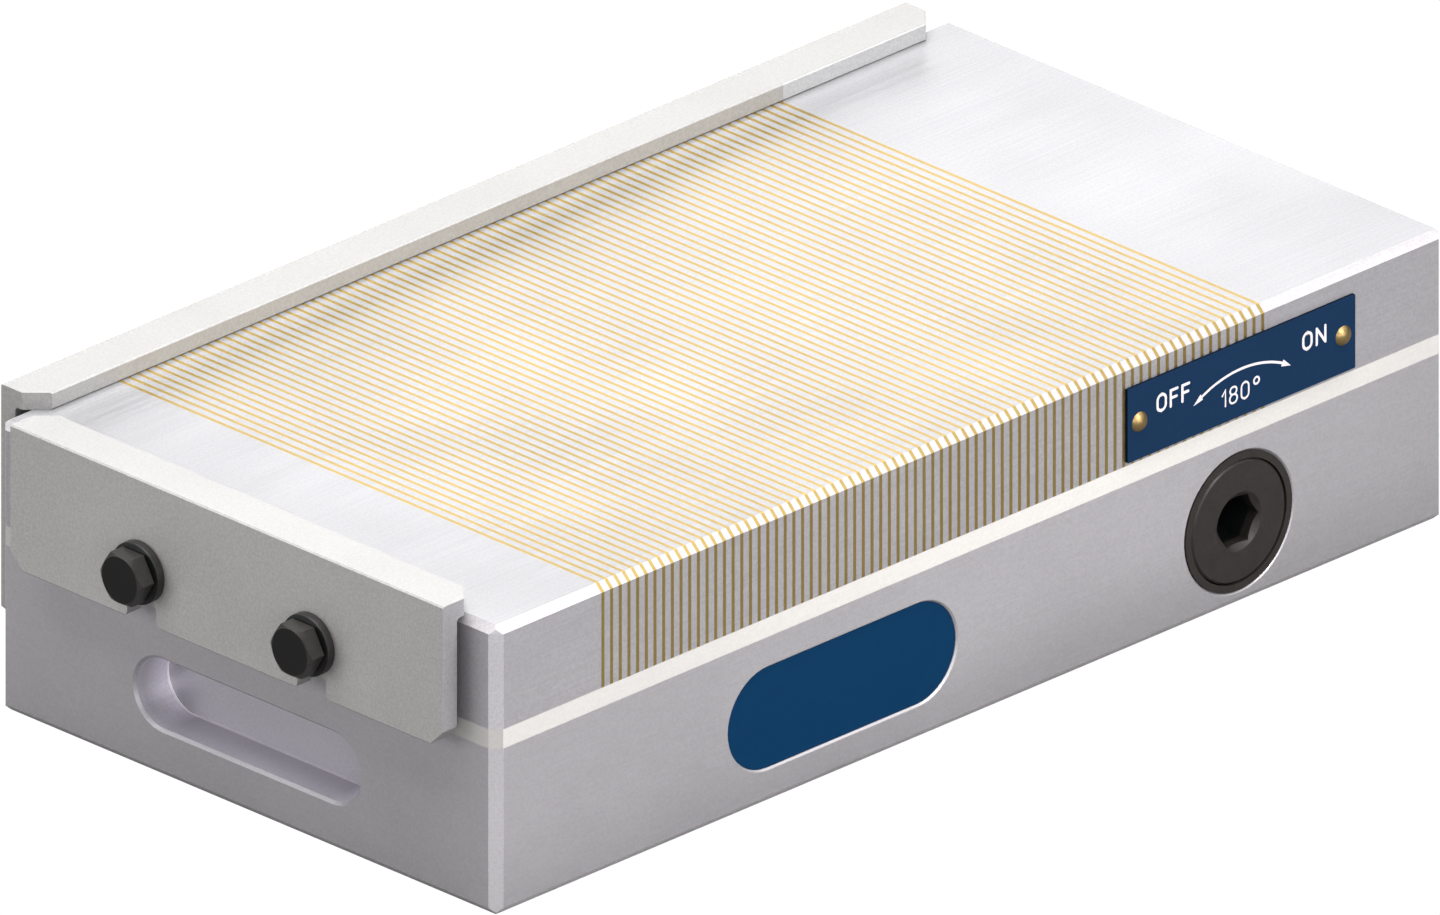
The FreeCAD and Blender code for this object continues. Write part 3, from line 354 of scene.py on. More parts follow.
def painted_shade_on_top(tree, x, y, z):
    """Painted shade: the top grows a little darker towards the front and the left end."""
    front = spread(tree, y, 1.0, 0.0, -42.0, -12.0)
    left = spread(tree, x, 1.0, 0.0, -92.0, -72.0)
    return all_of(tree, top_face(tree, x, y, z), join(tree, "MAXIMUM", front, left))


def painted_light_on_top_chamfer(tree, x, y, z):
    return within(tree, z, CHAMFER_FOOT, TOP - SKIN)


def ground_corners(tree, x, y, z):
    return over(tree, join(tree, "ADD", size_of(tree, x), size_of(tree, y)), CORNER_REACH - SKIN)


def painted_light_on_foot_chamfer(tree, x, y, z):
    """The chamfer round the foot, clear of the sides and of the ground corners, for painted light."""
    return all_of(tree, under(tree, size_of(tree, x), HALF_LENGTH - 0.02),
                  under(tree, size_of(tree, y), HALF_WIDTH - 0.02), under(tree, z, FOOT_CHAMFER_TOP),
                  join(tree, "SUBTRACT", 1.0, ground_corners(tree, x, y, z)))


def painted_shade_at_front_foot(tree, x, y, z):
    return all_of(tree, under(tree, y, 0.1 - HALF_WIDTH), spread(tree, z, 1.0, 0.0, 2.0, 13.0))


def pocket_slice(near, far):
    """The part of both clamp pockets between two distances from the middle of the chuck."""
    def region(tree, x, y, z):
        height = size_of(tree, join(tree, "SUBTRACT", z, POCKET_MIDDLE))
        return all_of(tree, within(tree, size_of(tree, x), near, far),
                      under(tree, height, POCKET_HALF_HEIGHT),
                      under(tree, size_of(tree, y), POCKET_HALF_WIDTH))
    return region


def painted_light_in_pocket_ends(tree, x, y, z):
    """The round ends of both clamp pockets, most of all deep in them, for painted light."""
    return all_of(tree, pocket_slice(POCKET_FLOOR + 0.02, POCKET_MOUTH)(tree, x, y, z),
                  spread(tree, size_of(tree, y), 0.0, 1.0, 17.5, 21.5),
                  spread(tree, size_of(tree, x), 1.0, 0.1, 97.6, 103.0))


def painted_light_middle(tree, x, y, z):
    """Painted highlight that fades from 1 in the middle of the front to 0 at its ends and at its foot."""
    along = size_of(tree, join(tree, "SUBTRACT", x, PAINTED_LIGHT_X))
    return all_of(tree, spread(tree, along, 1.0, 0.0, 20.0, 85.0), spread(tree, z, 0.0, 1.0, 5.0, 18.0))


retone(plate_steel, grinding_marks, (0.93, 0.93, 0.94))
retone(plate_steel, top_face, (0.99, 1.02, 1.00))
# Painted shade darkens the top towards the front and the left end.
retone(plate_steel, painted_shade_on_top, 0.94)
# Painted light lightens the top chamfer and the ground corners.
retone(plate_steel, painted_light_on_top_chamfer, (1.14, 1.14, 1.12))
retone(plate_steel, ground_corners, 1.46)
retone(block_steel, ground_corners, 1.36)
# Painted light fills the clamp pockets, most of all at their round ends, with painted highlights along
# the edge of the floor and on the mouth.
retone(block_steel, pocket_slice(97.0, POCKET_MOUTH), (1.22, 1.22, 1.28))
retone(block_steel, pocket_slice(POCKET_FLOOR, POCKET_MOUTH), 1.20)
retone(block_steel, painted_light_in_pocket_ends, 2.20)
retone(block_steel, pocket_slice(POCKET_FLOOR, POCKET_FLOOR + 0.40), (1.60, 1.60, 1.55))
retone(block_steel, pocket_slice(POCKET_MOUTH, 104.97), (1.08, 1.08, 1.10))
# A painted highlight brightens the middle of the front.
retone(block_steel, painted_light_middle, 1.12)
# Painted shade darkens the front towards its foot, and painted light lightens the foot chamfer.
retone(block_steel, painted_shade_at_front_foot, 0.90)
retone(block_steel, painted_light_on_foot_chamfer, (1.85, 1.85, 1.82))
print("set by place: marks, top, corners, pockets, middle and foot of the front")

# %% [markdown]
# The band under the pole plate is a pale, non-magnetic steel. It reads as warm cream beside the
# lavender block, with the same fine grain along its length.

# %% Pale band and warm stops
BAND_TONE = (0.338, 0.328, 0.317)
STOP_TONE = (0.274, 0.270, 0.266)
STOP_TOP = 53.0
STOP_FACE_X = -109.5
STOP_LEG_END = 47.78
RAIL_LIP_Y = (51.30, 51.62)
STRIPS_END = 65.0
band_steel = worked_steel("pale_band_steel", BAND_TONE, 0.15, 0.5, (120, 3800, 3800), 0.04, 0.003)
stop_steel = worked_steel("tumbled_stop_steel", STOP_TONE, 0.485, 0.5, 2100, 0.09, 0.006)


def painted_light_on_band_front(tree, x, y, z):
    return under(tree, y, 0.03 - HALF_WIDTH)


def painted_shade_on_leg_ends(tree, x, y, z):
    return all_of(tree, under(tree, x, -HALF_LENGTH - SKIN), over(tree, size_of(tree, y), STOP_LEG_END))


def painted_light_on_stop_face(tree, x, y, z):
    return under(tree, x, STOP_FACE_X + SKIN)


def painted_light_on_rail_lip(tree, x, y, z):
    """Painted light on the lip of the rail where it stands over the right block and not over the strips.
    """
    return all_of(tree, within(tree, y, *RAIL_LIP_Y), under(tree, z, STOP_TOP - 0.1),
                  over(tree, x, STRIPS_END))


def painted_shade_on_stop_tops(tree, x, y, z):
    return over(tree, z, STOP_TOP - SKIN)


# Painted light lightens the front of the band, and the painted highlight of the front's middle goes on it
# too.
retone(band_steel, painted_light_on_band_front, 1.25)
retone(band_steel, painted_light_middle, (1.14, 1.13, 1.12))
# On the stops, painted shade darkens the ends of the legs and the tops, and painted light lightens the
# lip of the rail over the right block and the outer face.
retone(stop_steel, painted_shade_on_leg_ends, (0.89, 0.88, 0.93))
retone(stop_steel, painted_light_on_rail_lip, (1.30, 1.31, 1.34))
retone(stop_steel, painted_light_on_stop_face, (1.12, 1.11, 1.11))
retone(stop_steel, painted_shade_on_stop_tops, (0.945, 0.945, 0.94))
print("band and stops:", band_steel.name, stop_steel.name)

# %% [markdown]
# Brass is ground flush with the steel, so it carries the same streaks. Painted light makes it
# brighter on the top than on the front, and the rivets are the same metal left bright.

# %% Brass
BRASS_TONE = (0.302, 0.219, 0.074)
RIVET_TONE = (0.235, 0.165, 0.069)
strip_brass = worked_steel("ground_strip_brass", BRASS_TONE, 0.95, 0.4, (45, 5200, 5200), 0.05, 0.003)
rivet_brass = worked_steel("bright_rivet_brass", RIVET_TONE, 0.95, 0.40, 1500, 0.02, 0.0)
bronze = worked_steel("bearing_bronze", (0.36, 0.20, 0.08), 0.9, 0.38, 1200, 0.08, 0.004)
# Painted light on the top of the brass strips.
retone(strip_brass, top_face, (1.53, 1.51, 1.38))
print("brass:", strip_brass.name, rivet_brass.name, bronze.name)

# %% [markdown]
# Bolts, ring and disc are blackened. The coating is thin, so it is a warm near-black with a soft
# sheen, slightly browner in cloudy patches. Painted shade darkens the faces of bolts and washers
# that look along their axis, and the walls of the key socket.

# %% Blackened steel
SHAFT_X = 59.2
SHAFT_Z = 14.5
SOCKET_RADIUS = 4.8
SOCKET_END_Y = -44.0


def blackened(name, tone, roughness, turned, gloss=0.3):
    material, tree, shader = finish(name, tone, 0.0, roughness, gloss)
    grain = noise(tree, turned, detail=3.0, offset=1.3)
    cloud = noise(tree, 420, detail=2.0, offset=5.2)
    share = join(tree, "ADD", spread(tree, grain, 0.0, 0.6), spread(tree, cloud, 0.0, 0.4))
    colour = two_tones(tree, share, shade(tone, 0.82), shade(tone, 1.22))
    dull = spread(tree, cloud, roughness - 0.05, roughness + 0.07)
    link(tree, (colour, shader.inputs["Base Color"]), (dull, shader.inputs["Roughness"]))
    relief(tree, shader, grain, 0.3, 0.004)
    return material


def painted_shade_on_front_faces(tree, x, y, z):
    return put(tree, "ShaderNodeAttribute", attribute_name="faces_front").outputs["Fac"]


def painted_shade_in_key_socket(near_y):
    """Painted shade on the walls of the key socket from this distance inwards."""
    def region(tree, x, y, z):
        along = join(tree, "SUBTRACT", x, SHAFT_X)
        above = join(tree, "SUBTRACT", z, SHAFT_Z)
        squares = join(tree, "ADD", all_of(tree, along, along), all_of(tree, above, above))
        return all_of(tree, under(tree, squares, SOCKET_RADIUS ** 2),
                      within(tree, y, near_y, SOCKET_END_Y))
    return region


bolt_black = blackened("blackened_bolt_steel", (0.0200, 0.0185, 0.0180), 0.34, 1900, 0.20)
washer_black = blackened("blackened_washer_steel", (0.0180, 0.0166, 0.0162), 0.38, 1900, 0.22)
ring_black = blackened("blackened_ring_steel", (0.0148, 0.0130, 0.0117), 0.42, (1400, 900, 1400), 0.20)
screw_black = blackened("blackened_screw_steel", (0.028, 0.027, 0.026), 0.40, 1700)
# Painted shade darkens the faces of bolts and washers that look along their axis.
retone(bolt_black, painted_shade_on_front_faces, (0.09, 0.06, 0.06))
retone(washer_black, painted_shade_on_front_faces, (0.13, 0.16, 0.16))
# Painted shade darkens the walls of the key socket, most of all deep inside.
retone(ring_black, painted_shade_in_key_socket(-54.15), 0.60)
retone(ring_black, painted_shade_in_key_socket(-52.60), (0.17, 0.27, 0.28))
print("blacks:", bolt_black.name, washer_black.name, ring_black.name, screw_black.name)

# %% [markdown]
# The switch label is printed metal and the badge is enamel, both a deep navy. Print is a touch
# uneven and satin. Enamel is smoother, with a faint orange-peel in its surface.

# %% Navy print, navy enamel and white lettering ink
LABEL_TONE = (0.0049, 0.0175, 0.0450)
BADGE_TONE = (0.0017, 0.0203, 0.0563)
LABEL_FACE_Y = -55.52


def coated(name, tone, roughness, grain_size, unevenness, depth_mm, gloss=0.08):
    material, tree, shader = finish(name, tone, 0.0, roughness, gloss)
    grain = noise(tree, grain_size, detail=2.0)
    cloud = noise(tree, 60, detail=1.0, offset=2.2)
    share = join(tree, "ADD", spread(tree, grain, 0.0, 0.7), spread(tree, cloud, 0.0, 0.3))
    colour = two_tones(tree, share, shade(tone, 1 - unevenness), shade(tone, 1 + unevenness))
    dull = spread(tree, grain, roughness - 0.04, roughness + 0.05)
    link(tree, (colour, shader.inputs["Base Color"]), (dull, shader.inputs["Roughness"]))
    relief(tree, shader, grain, 0.25, depth_mm)
    return material


def painted_shade_on_label_edges(tree, x, y, z):
    return over(tree, y, LABEL_FACE_Y)


label_navy = coated("printed_label_navy", LABEL_TONE, 0.52, 2400, 0.08, 0.003, 0.03)
badge_navy = coated("enamel_badge_navy", BADGE_TONE, 0.38, 700, 0.05, 0.003, 0.03)
# Painted shade darkens the edges of the label.
retone(label_navy, painted_shade_on_label_edges, 0.3)
letter_white = coated("printed_letter_white", (0.50, 0.465, 0.472), 0.55, 2600, 0.03, 0.002)
print("coatings:", label_navy.name, badge_navy.name, letter_white.name)

# %% [markdown]
# Inside are parts that only show when the chuck is taken apart: tray, magnets, flux strips,
# low-friction strips, a seal and a dowel. They get plain true finishes of their own.

# %% Finishes of the inner parts
TRAY_TONE = (0.55, 0.56, 0.58)
FLUX_TONE = (0.34, 0.34, 0.36)
DOWEL_TONE = (0.42, 0.42, 0.44)
tray_metal = worked_steel("milled_tray_aluminium", TRAY_TONE, 0.9, 0.36, (300, 2600, 2600), 0.04, 0.005)
flux_steel = worked_steel("ground_flux_steel", FLUX_TONE, 0.9, 0.36, (45, 2600, 2600), 0.05, 0.004)
magnet_grey = blackened("sintered_magnet", (0.055, 0.055, 0.060), 0.55, 2600)
slide_white = coated("low_friction_strip", (0.70, 0.69, 0.66), 0.45, 1200, 0.03, 0.003)
seal_black = coated("moulded_seal_rubber", (0.012, 0.012, 0.012), 0.62, 2200, 0.15, 0.004)
dowel_steel = worked_steel("hardened_dowel_steel", DOWEL_TONE, 0.95, 0.28, (1500, 1500, 200), 0.05, 0.002)
print("finishes:", len(bpy.data.materials))

# %% [markdown]
# A finish goes on a part through the slot of its object, which leaves the part's own mesh alone.

# %% Dress the parts that keep their mesh
def dress(name, material):
    piece = nodes[name]
    if not piece.material_slots:
        piece.data.materials.append(None)
    for slot in piece.material_slots:
        slot.link = "OBJECT"
        slot.material = material


dressed = {
    "spacer_frame": band_steel,
    "pole_block_left": plate_steel,
    "pole_block_right": plate_steel,
    "rear_bush": bronze,
    "stop_pin": dowel_steel,
    "slide_strips": slide_white,
    "magnet_carriage": tray_metal,
    "magnet_strips": magnet_grey,
    "flux_strips": flux_steel,
    "drive_yoke": inner_steel,
    "yoke_screws": screw_black,
    "eccentric_ring": bronze,
    "shaft_circlip": screw_black,
    "shaft_oring": seal_black,
    "end_stop_spacers": screw_black,
    "side_rail_spacers": screw_black,
    "label_plate": label_navy,
}
for name, material in dressed.items():
    dress(name, material)
print("dressed in place:", len(dressed))

# %% [markdown]
# A measured part arrives as loose triangles, so a bore or a round edge shows its flats. A copy is
# welded, its flat faces are joined up, and every edge softer than 30 degrees is shaded round.
# The copy then stands for the part, in the same place.

# %% Weld a copy and shade it round
WELD_DISTANCE = 0.002 * MM
FLAT_DEGREES = 0.4


def shade_round(shape, smooth_degrees):
    """Shade every face smooth, and keep the edges that bend more than this sharp."""
    limit = math.radians(smooth_degrees)
    for face in shape.faces:
        face.smooth = True
    for edge in shape.edges:
        edge.smooth = len(edge.link_faces) == 2 and edge.calc_face_angle() < limit


def welded_copy(name, title, material, body):
    mesh = nodes[name].data.copy()
    shape = bmesh.new()
    shape.from_mesh(mesh)
    bmesh.ops.remove_doubles(shape, verts=shape.verts, dist=WELD_DISTANCE)
    bmesh.ops.dissolve_limit(shape, angle_limit=math.radians(FLAT_DEGREES),
                             verts=shape.verts, edges=shape.edges)
    shade_round(shape, 30)
    shape.to_mesh(mesh)
    shape.free()
    if "custom_normal" in mesh.attributes:
        mesh.attributes.remove(mesh.attributes["custom_normal"])
    mesh.materials.clear()
    mesh.materials.append(material)
    piece = in_scene(title, mesh)
    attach(piece, body)
    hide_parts(name)
    return piece


finished = [
    welded_copy("base_body", "milled_base", block_steel, "chuck_body"),
    welded_copy("end_stop", "bolted_end_stop", stop_steel, "end_stop"),
    welded_copy("side_rail", "bolted_side_rail", stop_steel, "side_rail"),
    welded_copy("front_bush", "pressed_front_ring", ring_black, "chuck_body"),
    welded_copy("actuator_shaft", "turning_shaft", ring_black, "switch_shaft"),
    welded_copy("badge_plate", "blank_badge", badge_navy, "chuck_body"),
    welded_copy("body_screws", "sunk_body_screws", screw_black, "chuck_body"),
]
print("welded copies:", [piece.name for piece in finished])

# %% [markdown]
# A worked edge is never quite sharp. It is broken by about a tenth of a millimetre, and that narrow
# flat catches the light as a thin bright line. The large faces keep their flat shading.

# %% Break the sharp edges
for piece, width_mm in zip(finished[:3], (0.07, 0.15, 0.15)):
    modifier = piece.modifiers.new("broken_edges", "BEVEL")
    modifier.width = width_mm * MM
    modifier.segments = 1
    modifier.limit_method = "ANGLE"
    modifier.angle_limit = math.radians(40)
    modifier.harden_normals = True
print("broken edges:", [piece.name for piece in finished[:3]])

# %% [markdown]
# The pole plate is one strip repeated: 77 of brass and 76 of steel, ground together with the
# blocks at their ends. That is a rule, so Geometry Nodes make it. One strip starts as a box with
# four rows of points across the chuck. The outer rows of its top are pulled down to make the
# ground chamfer, and the strip is then set along a line at the pole pitch.

# %% Node tree for a row of strips
STRIP_ROWS = 4
INNER_SHARE = 0.6


def new_tree(name, inputs):
    """A geometry tree with named inputs, as (tree, identifiers of the inputs)."""
    tree = bpy.data.node_groups.new(name, "GeometryNodeTree")
    keys = {}
    for title, kind in inputs.items():
        socket = tree.interface.new_socket(name=title, in_out="INPUT", socket_type="NodeSocket" + kind)
        keys[title] = socket.identifier
    tree.interface.new_socket(name="Geometry", in_out="OUTPUT", socket_type="NodeSocketGeometry")
    return tree, keys


strip_tree, strip_inputs = new_tree("row_of_ground_strips", {
    "Count": "Int", "Pitch": "Float", "First": "Float", "Thickness": "Float", "Width": "Float",
    "Foot": "Float", "Top": "Float", "Chamfer": "Float", "Metal": "Material",
})


def build_strip_tree(tree):
    given = put(tree, "NodeGroupInput").outputs
    box = put(tree, "GeometryNodeMeshCube", {"Vertices Y": STRIP_ROWS})
    size = put(tree, "ShaderNodeCombineXYZ")
    height = join(tree, "SUBTRACT", given["Top"], given["Foot"])
    link(tree, (given["Thickness"], size.inputs["X"]), (given["Width"], size.inputs["Y"]),
         (height, size.inputs["Z"]), (size.outputs[0], box.inputs["Size"]))
    place = put(tree, "ShaderNodeSeparateXYZ")
    link(tree, (put(tree, "GeometryNodeInputPosition").outputs[0], place.inputs[0]))
    half = join(tree, "MULTIPLY", given["Width"], 0.5)
    share = join(tree, "DIVIDE", place.outputs["Y"], half)
    outer = join(tree, "GREATER_THAN", join(tree, "ABSOLUTE", share), INNER_SHARE)
    inset = join(tree, "MULTIPLY", join(tree, "SUBTRACT", 1.0, outer), given["Chamfer"])
    side = join(tree, "SIGN", place.outputs["Y"])
    new_y = join(tree, "MULTIPLY", side, join(tree, "SUBTRACT", half, inset))
    upper = join(tree, "GREATER_THAN", place.outputs["Z"], 0.0)
    drop = join(tree, "MULTIPLY", join(tree, "MULTIPLY", outer, upper), given["Chamfer"])
    middle = join(tree, "MULTIPLY", join(tree, "ADD", given["Top"], given["Foot"]), 0.5)
    new_z = join(tree, "ADD", join(tree, "SUBTRACT", place.outputs["Z"], drop), middle)
    moved = put(tree, "ShaderNodeCombineXYZ")
    shaped = put(tree, "GeometryNodeSetPosition")
    link(tree, (place.outputs["X"], moved.inputs["X"]), (new_y, moved.inputs["Y"]),
         (new_z, moved.inputs["Z"]), (box.outputs["Mesh"], shaped.inputs["Geometry"]),
         (moved.outputs[0], shaped.inputs["Position"]))
    row = put(tree, "GeometryNodeMeshLine", mode="OFFSET")
    start = put(tree, "ShaderNodeCombineXYZ")
    step = put(tree, "ShaderNodeCombineXYZ")
    link(tree, (given["First"], start.inputs["X"]), (given["Pitch"], step.inputs["X"]),
         (given["Count"], row.inputs["Count"]), (start.outputs[0], row.inputs["Start Location"]),
         (step.outputs[0], row.inputs["Offset"]))
    copies = put(tree, "GeometryNodeInstanceOnPoints")
    solid = put(tree, "GeometryNodeRealizeInstances")
    metal = put(tree, "GeometryNodeSetMaterial")
    flat = put(tree, "GeometryNodeSetShadeSmooth", {"Shade Smooth": False})
    done = put(tree, "NodeGroupOutput")
    link(tree, (row.outputs["Mesh"], copies.inputs["Points"]),
         (shaped.outputs[0], copies.inputs["Instance"]), (copies.outputs[0], solid.inputs[0]),
         (solid.outputs[0], flat.inputs["Geometry"]), (flat.outputs[0], metal.inputs["Geometry"]),
         (given["Metal"], metal.inputs["Material"]), (metal.outputs[0], done.inputs[0]))


build_strip_tree(strip_tree)
print("strip tree nodes:", len(strip_tree.nodes))

# %% [markdown]
# A node tree makes its geometry live. For a piece that will be moved and posed, the result is
# frozen into a plain mesh, and the modifier goes away.

# %% Freeze what a node tree makes
def grow(title, tree, inputs, values, body, stands_for):
    """Run a node tree with the values given, and keep its result as a plain mesh piece."""
    seed = in_scene(title + "_seed", bpy.data.meshes.new(title + "_seed"))
    modifier = seed.modifiers.new("grow", "NODES")
    modifier.node_group = tree
    for key, value in values.items():
        modifier[inputs[key]] = value
    seed.update_tag()
    view = bpy.context.evaluated_depsgraph_get()
    mesh = bpy.data.meshes.new_from_object(seed.evaluated_get(view))
    seed.modifiers.clear()
    bpy.data.objects.remove(seed)
    mesh.name = title
    piece = in_scene(title, mesh)
    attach(piece, body)
    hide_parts(*stands_for)
    return piece


BRASS_THICKNESS = 0.70 * MM
POLE_PITCH = 1.918 * MM
PLATE_CHAMFER = 1.3 * MM
BRASS_COUNT = 77
plate_low, plate_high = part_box("brass_laminations")
first_brass = plate_low.x + BRASS_THICKNESS / 2
print("pitch from the measured plate in mm:",
      round((plate_high.x - plate_low.x - BRASS_THICKNESS) / (BRASS_COUNT - 1) / MM, 4))
shared = {"Pitch": POLE_PITCH, "Width": plate_high.y - plate_low.y, "Foot": plate_low.z,
          "Top": plate_high.z, "Chamfer": PLATE_CHAMFER}
brass_row = dict(shared, Count=BRASS_COUNT, First=first_brass, Thickness=BRASS_THICKNESS,
                 Metal=strip_brass)
steel_row = dict(shared, Count=BRASS_COUNT - 1, First=first_brass + POLE_PITCH / 2,
                 Thickness=POLE_PITCH - BRASS_THICKNESS, Metal=plate_steel)
brass_strips = grow("brass_pole_strips", strip_tree, strip_inputs, brass_row, "chuck_body",
                    ["brass_laminations"])
steel_strips = grow("steel_pole_strips", strip_tree, strip_inputs, steel_row, "chuck_body",
                    ["steel_laminations"])
print("strip faces:", len(brass_strips.data.polygons), len(steel_strips.data.polygons))

# %% [markdown]
# Bolts, washers and rivets are turned parts. Each is drawn once, as half an outline spun about its
# axis, and a second node tree sets it along a line, pointing out of the face it stands on.

# %% Turn one fastener of each kind
def spun(title, outline, turns=64):
    """Half an outline of (radius, height) in mm, spun into a closed mesh about Z."""
    shape = bmesh.new()
    circle = [2 * math.pi * step / turns for step in range(turns)]
    rings = []
    for radius, height in outline:
        points = [(math.cos(a), math.sin(a)) for a in circle] if radius else [(0, 0)]
        rings.append([shape.verts.new((radius * MM * u, radius * MM * v, height * MM))
                      for u, v in points])
    for low, high in zip(rings, rings[1:]):
        for step in range(turns):
            after = (step + 1) % turns
            corners = [low[step % len(low)], low[after % len(low)],
                       high[after % len(high)], high[step % len(high)]]
            shape.faces.new(list(dict.fromkeys(corners)))
    return closed_mesh(shape, title, 30)


def closed_mesh(shape, title, smooth_degrees):
    """Turn a shape into a master object, with the faces that look along its axis marked."""
    bmesh.ops.recalc_face_normals(shape, faces=shape.faces)
    shade_round(shape, smooth_degrees)
    mesh = bpy.data.meshes.new(title)
    shape.to_mesh(mesh)
    shape.free()
    # The mark is where the blackened finishes paint shade.
    mark = mesh.attributes.new("faces_front", "FLOAT", "FACE")
    for polygon in mesh.polygons:
        mark.data[polygon.index].value = 1.0 if polygon.normal.z > 0.9 else 0.0
    return bpy.data.objects.new(title, mesh)


WASHER_RADIUS = 5.2
WASHER_BORE = 2.65
WASHER_HEIGHT = 1.55
washer_outline = [
    (WASHER_BORE, 0.0), (WASHER_RADIUS - 0.08, 0.0), (WASHER_RADIUS, 0.08),
    (WASHER_RADIUS, WASHER_HEIGHT - 0.24), (WASHER_RADIUS - 0.07, WASHER_HEIGHT - 0.07),
    (WASHER_RADIUS - 0.24, WASHER_HEIGHT), (WASHER_BORE + 0.1, WASHER_HEIGHT),
    (WASHER_BORE, WASHER_HEIGHT - 0.1), (WASHER_BORE, 0.0),
]
washer_master = spun("washer_master", washer_outline)

DOME_RADIUS = 1.7
DOME_RISE = 0.9
DOME_STEPS = 12
STEM_RADIUS = 0.8
STEM_LENGTH = 4.05
sphere = (DOME_RADIUS ** 2 + DOME_RISE ** 2) / (2 * DOME_RISE)
reach = math.asin(DOME_RADIUS / sphere)
rivet_outline = [(0.0, DOME_RISE)]
for step in range(1, DOME_STEPS + 1):
    turn = reach * step / DOME_STEPS
    rivet_outline.append((sphere * math.sin(turn), DOME_RISE - sphere * (1 - math.cos(turn))))
rivet_outline += [(STEM_RADIUS, 0.0), (STEM_RADIUS, -STEM_LENGTH), (0.0, -STEM_LENGTH)]
rivet_master = spun("rivet_master", rivet_outline, turns=48)
print("masters:", washer_master.name, rivet_master.name)

# %% [markdown]
# The bolt's head is a hexagon whose face is turned to a cone of 30 degrees, which leaves the round
# face and the curved tops of the six flats. Each direction round the head asks how far out the
# flat is and how high the cone is there, and the two meet in the curve seen on every hexagon head.
# A thin round collar under the head keeps its corners off the washer.

# %% One hexagon bolt
BOLT_FLATS = 8.1
BOLT_FACE_SHARE = 0.96
BOLT_HEAD = 3.05
COLLAR_RADIUS = 3.4
COLLAR_HEIGHT = 0.25
SHANK_RADIUS = 2.5
SHANK_LENGTH = 14.0
SHANK_POINT = 0.5
BOLT_TURNS = 96


def hexagon_bolt(title, phase_degrees):
    slope = math.tan(math.radians(30))
    flat = BOLT_FLATS / 2
    face_radius = flat * BOLT_FACE_SHARE
    top = COLLAR_HEIGHT + BOLT_HEAD
    up = Vector((0, 0, 1))
    shape = bmesh.new()
    rings = [[] for _ in range(8)]
    for step in range(BOLT_TURNS):
        angle = 2 * math.pi * step / BOLT_TURNS
        turn = angle + math.radians(phase_degrees)
        away = (math.degrees(angle) + 30) % 60 - 30
        edge = flat / math.cos(math.radians(30 - abs(away)))
        direction = Vector((math.cos(turn), math.sin(turn), 0))
        outline = [
            (face_radius, top), (edge, top - (edge - face_radius) * slope), (edge, COLLAR_HEIGHT),
            (COLLAR_RADIUS, COLLAR_HEIGHT), (COLLAR_RADIUS, 0.0), (SHANK_RADIUS, 0.0),
            (SHANK_RADIUS, SHANK_POINT - SHANK_LENGTH), (SHANK_RADIUS - SHANK_POINT, -SHANK_LENGTH),
        ]
        for ring, (radius, height) in zip(rings, outline):
            ring.append(shape.verts.new((direction * radius + up * height) * MM))
    for low, high in zip(rings, rings[1:]):
        for step in range(BOLT_TURNS):
            after = (step + 1) % BOLT_TURNS
            shape.faces.new([low[step], low[after], high[after], high[step]])
    shape.faces.new(rings[0])
    shape.faces.new(list(reversed(rings[-1])))
    return closed_mesh(shape, title, 20)


bolt_master_end = hexagon_bolt("bolt_master_end", 30)
bolt_master_rail = hexagon_bolt("bolt_master_rail", 0)
print("bolt faces:", len(bolt_master_end.data.polygons))

# %% [markdown]
# The row tree takes the master piece, a first place, a step and a turn, all named inputs, so the
# same tree serves the bolts, their washers and the rivets.

# %% Node tree for a row of fasteners
END_SPACING = 37.6 * MM
RAIL_SPACING = 76.0 * MM

row_tree, row_inputs = new_tree("row_of_fasteners", {
    "Piece": "Object", "Count": "Int", "First": "Vector", "Step": "Vector", "Turn": "Rotation",
    "Metal": "Material",
})


def build_row_tree(tree):
    given = put(tree, "NodeGroupInput").outputs
    master = put(tree, "GeometryNodeObjectInfo")
    row = put(tree, "GeometryNodeMeshLine", mode="OFFSET")
    copies = put(tree, "GeometryNodeInstanceOnPoints")
    solid = put(tree, "GeometryNodeRealizeInstances")
    metal = put(tree, "GeometryNodeSetMaterial")
    done = put(tree, "NodeGroupOutput")
    link(tree, (given["Piece"], master.inputs["Object"]), (given["Count"], row.inputs["Count"]),
         (given["First"], row.inputs["Start Location"]), (given["Step"], row.inputs["Offset"]),
         (row.outputs["Mesh"], copies.inputs["Points"]),
         (master.outputs["Geometry"], copies.inputs["Instance"]),
         (given["Turn"], copies.inputs["Rotation"]), (copies.outputs[0], solid.inputs[0]),
         (solid.outputs[0], metal.inputs["Geometry"]), (given["Metal"], metal.inputs["Material"]),
         (metal.outputs[0], done.inputs[0]))


def turned_to(direction):
    """The turn that points a master's axis along a direction."""
    return Vector((0, 0, 1)).rotation_difference(Vector(direction)).to_euler()


def middle_z(name):
    low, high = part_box(name)
    return (low.z + high.z) / 2


def fastener_row(title, master, count, first, step, turn, metal, node):
    values = {"Piece": master, "Count": count, "First": first, "Step": step, "Turn": turn, "Metal": metal}
    return grow(title, row_tree, row_inputs, values, "chuck_body", [node])


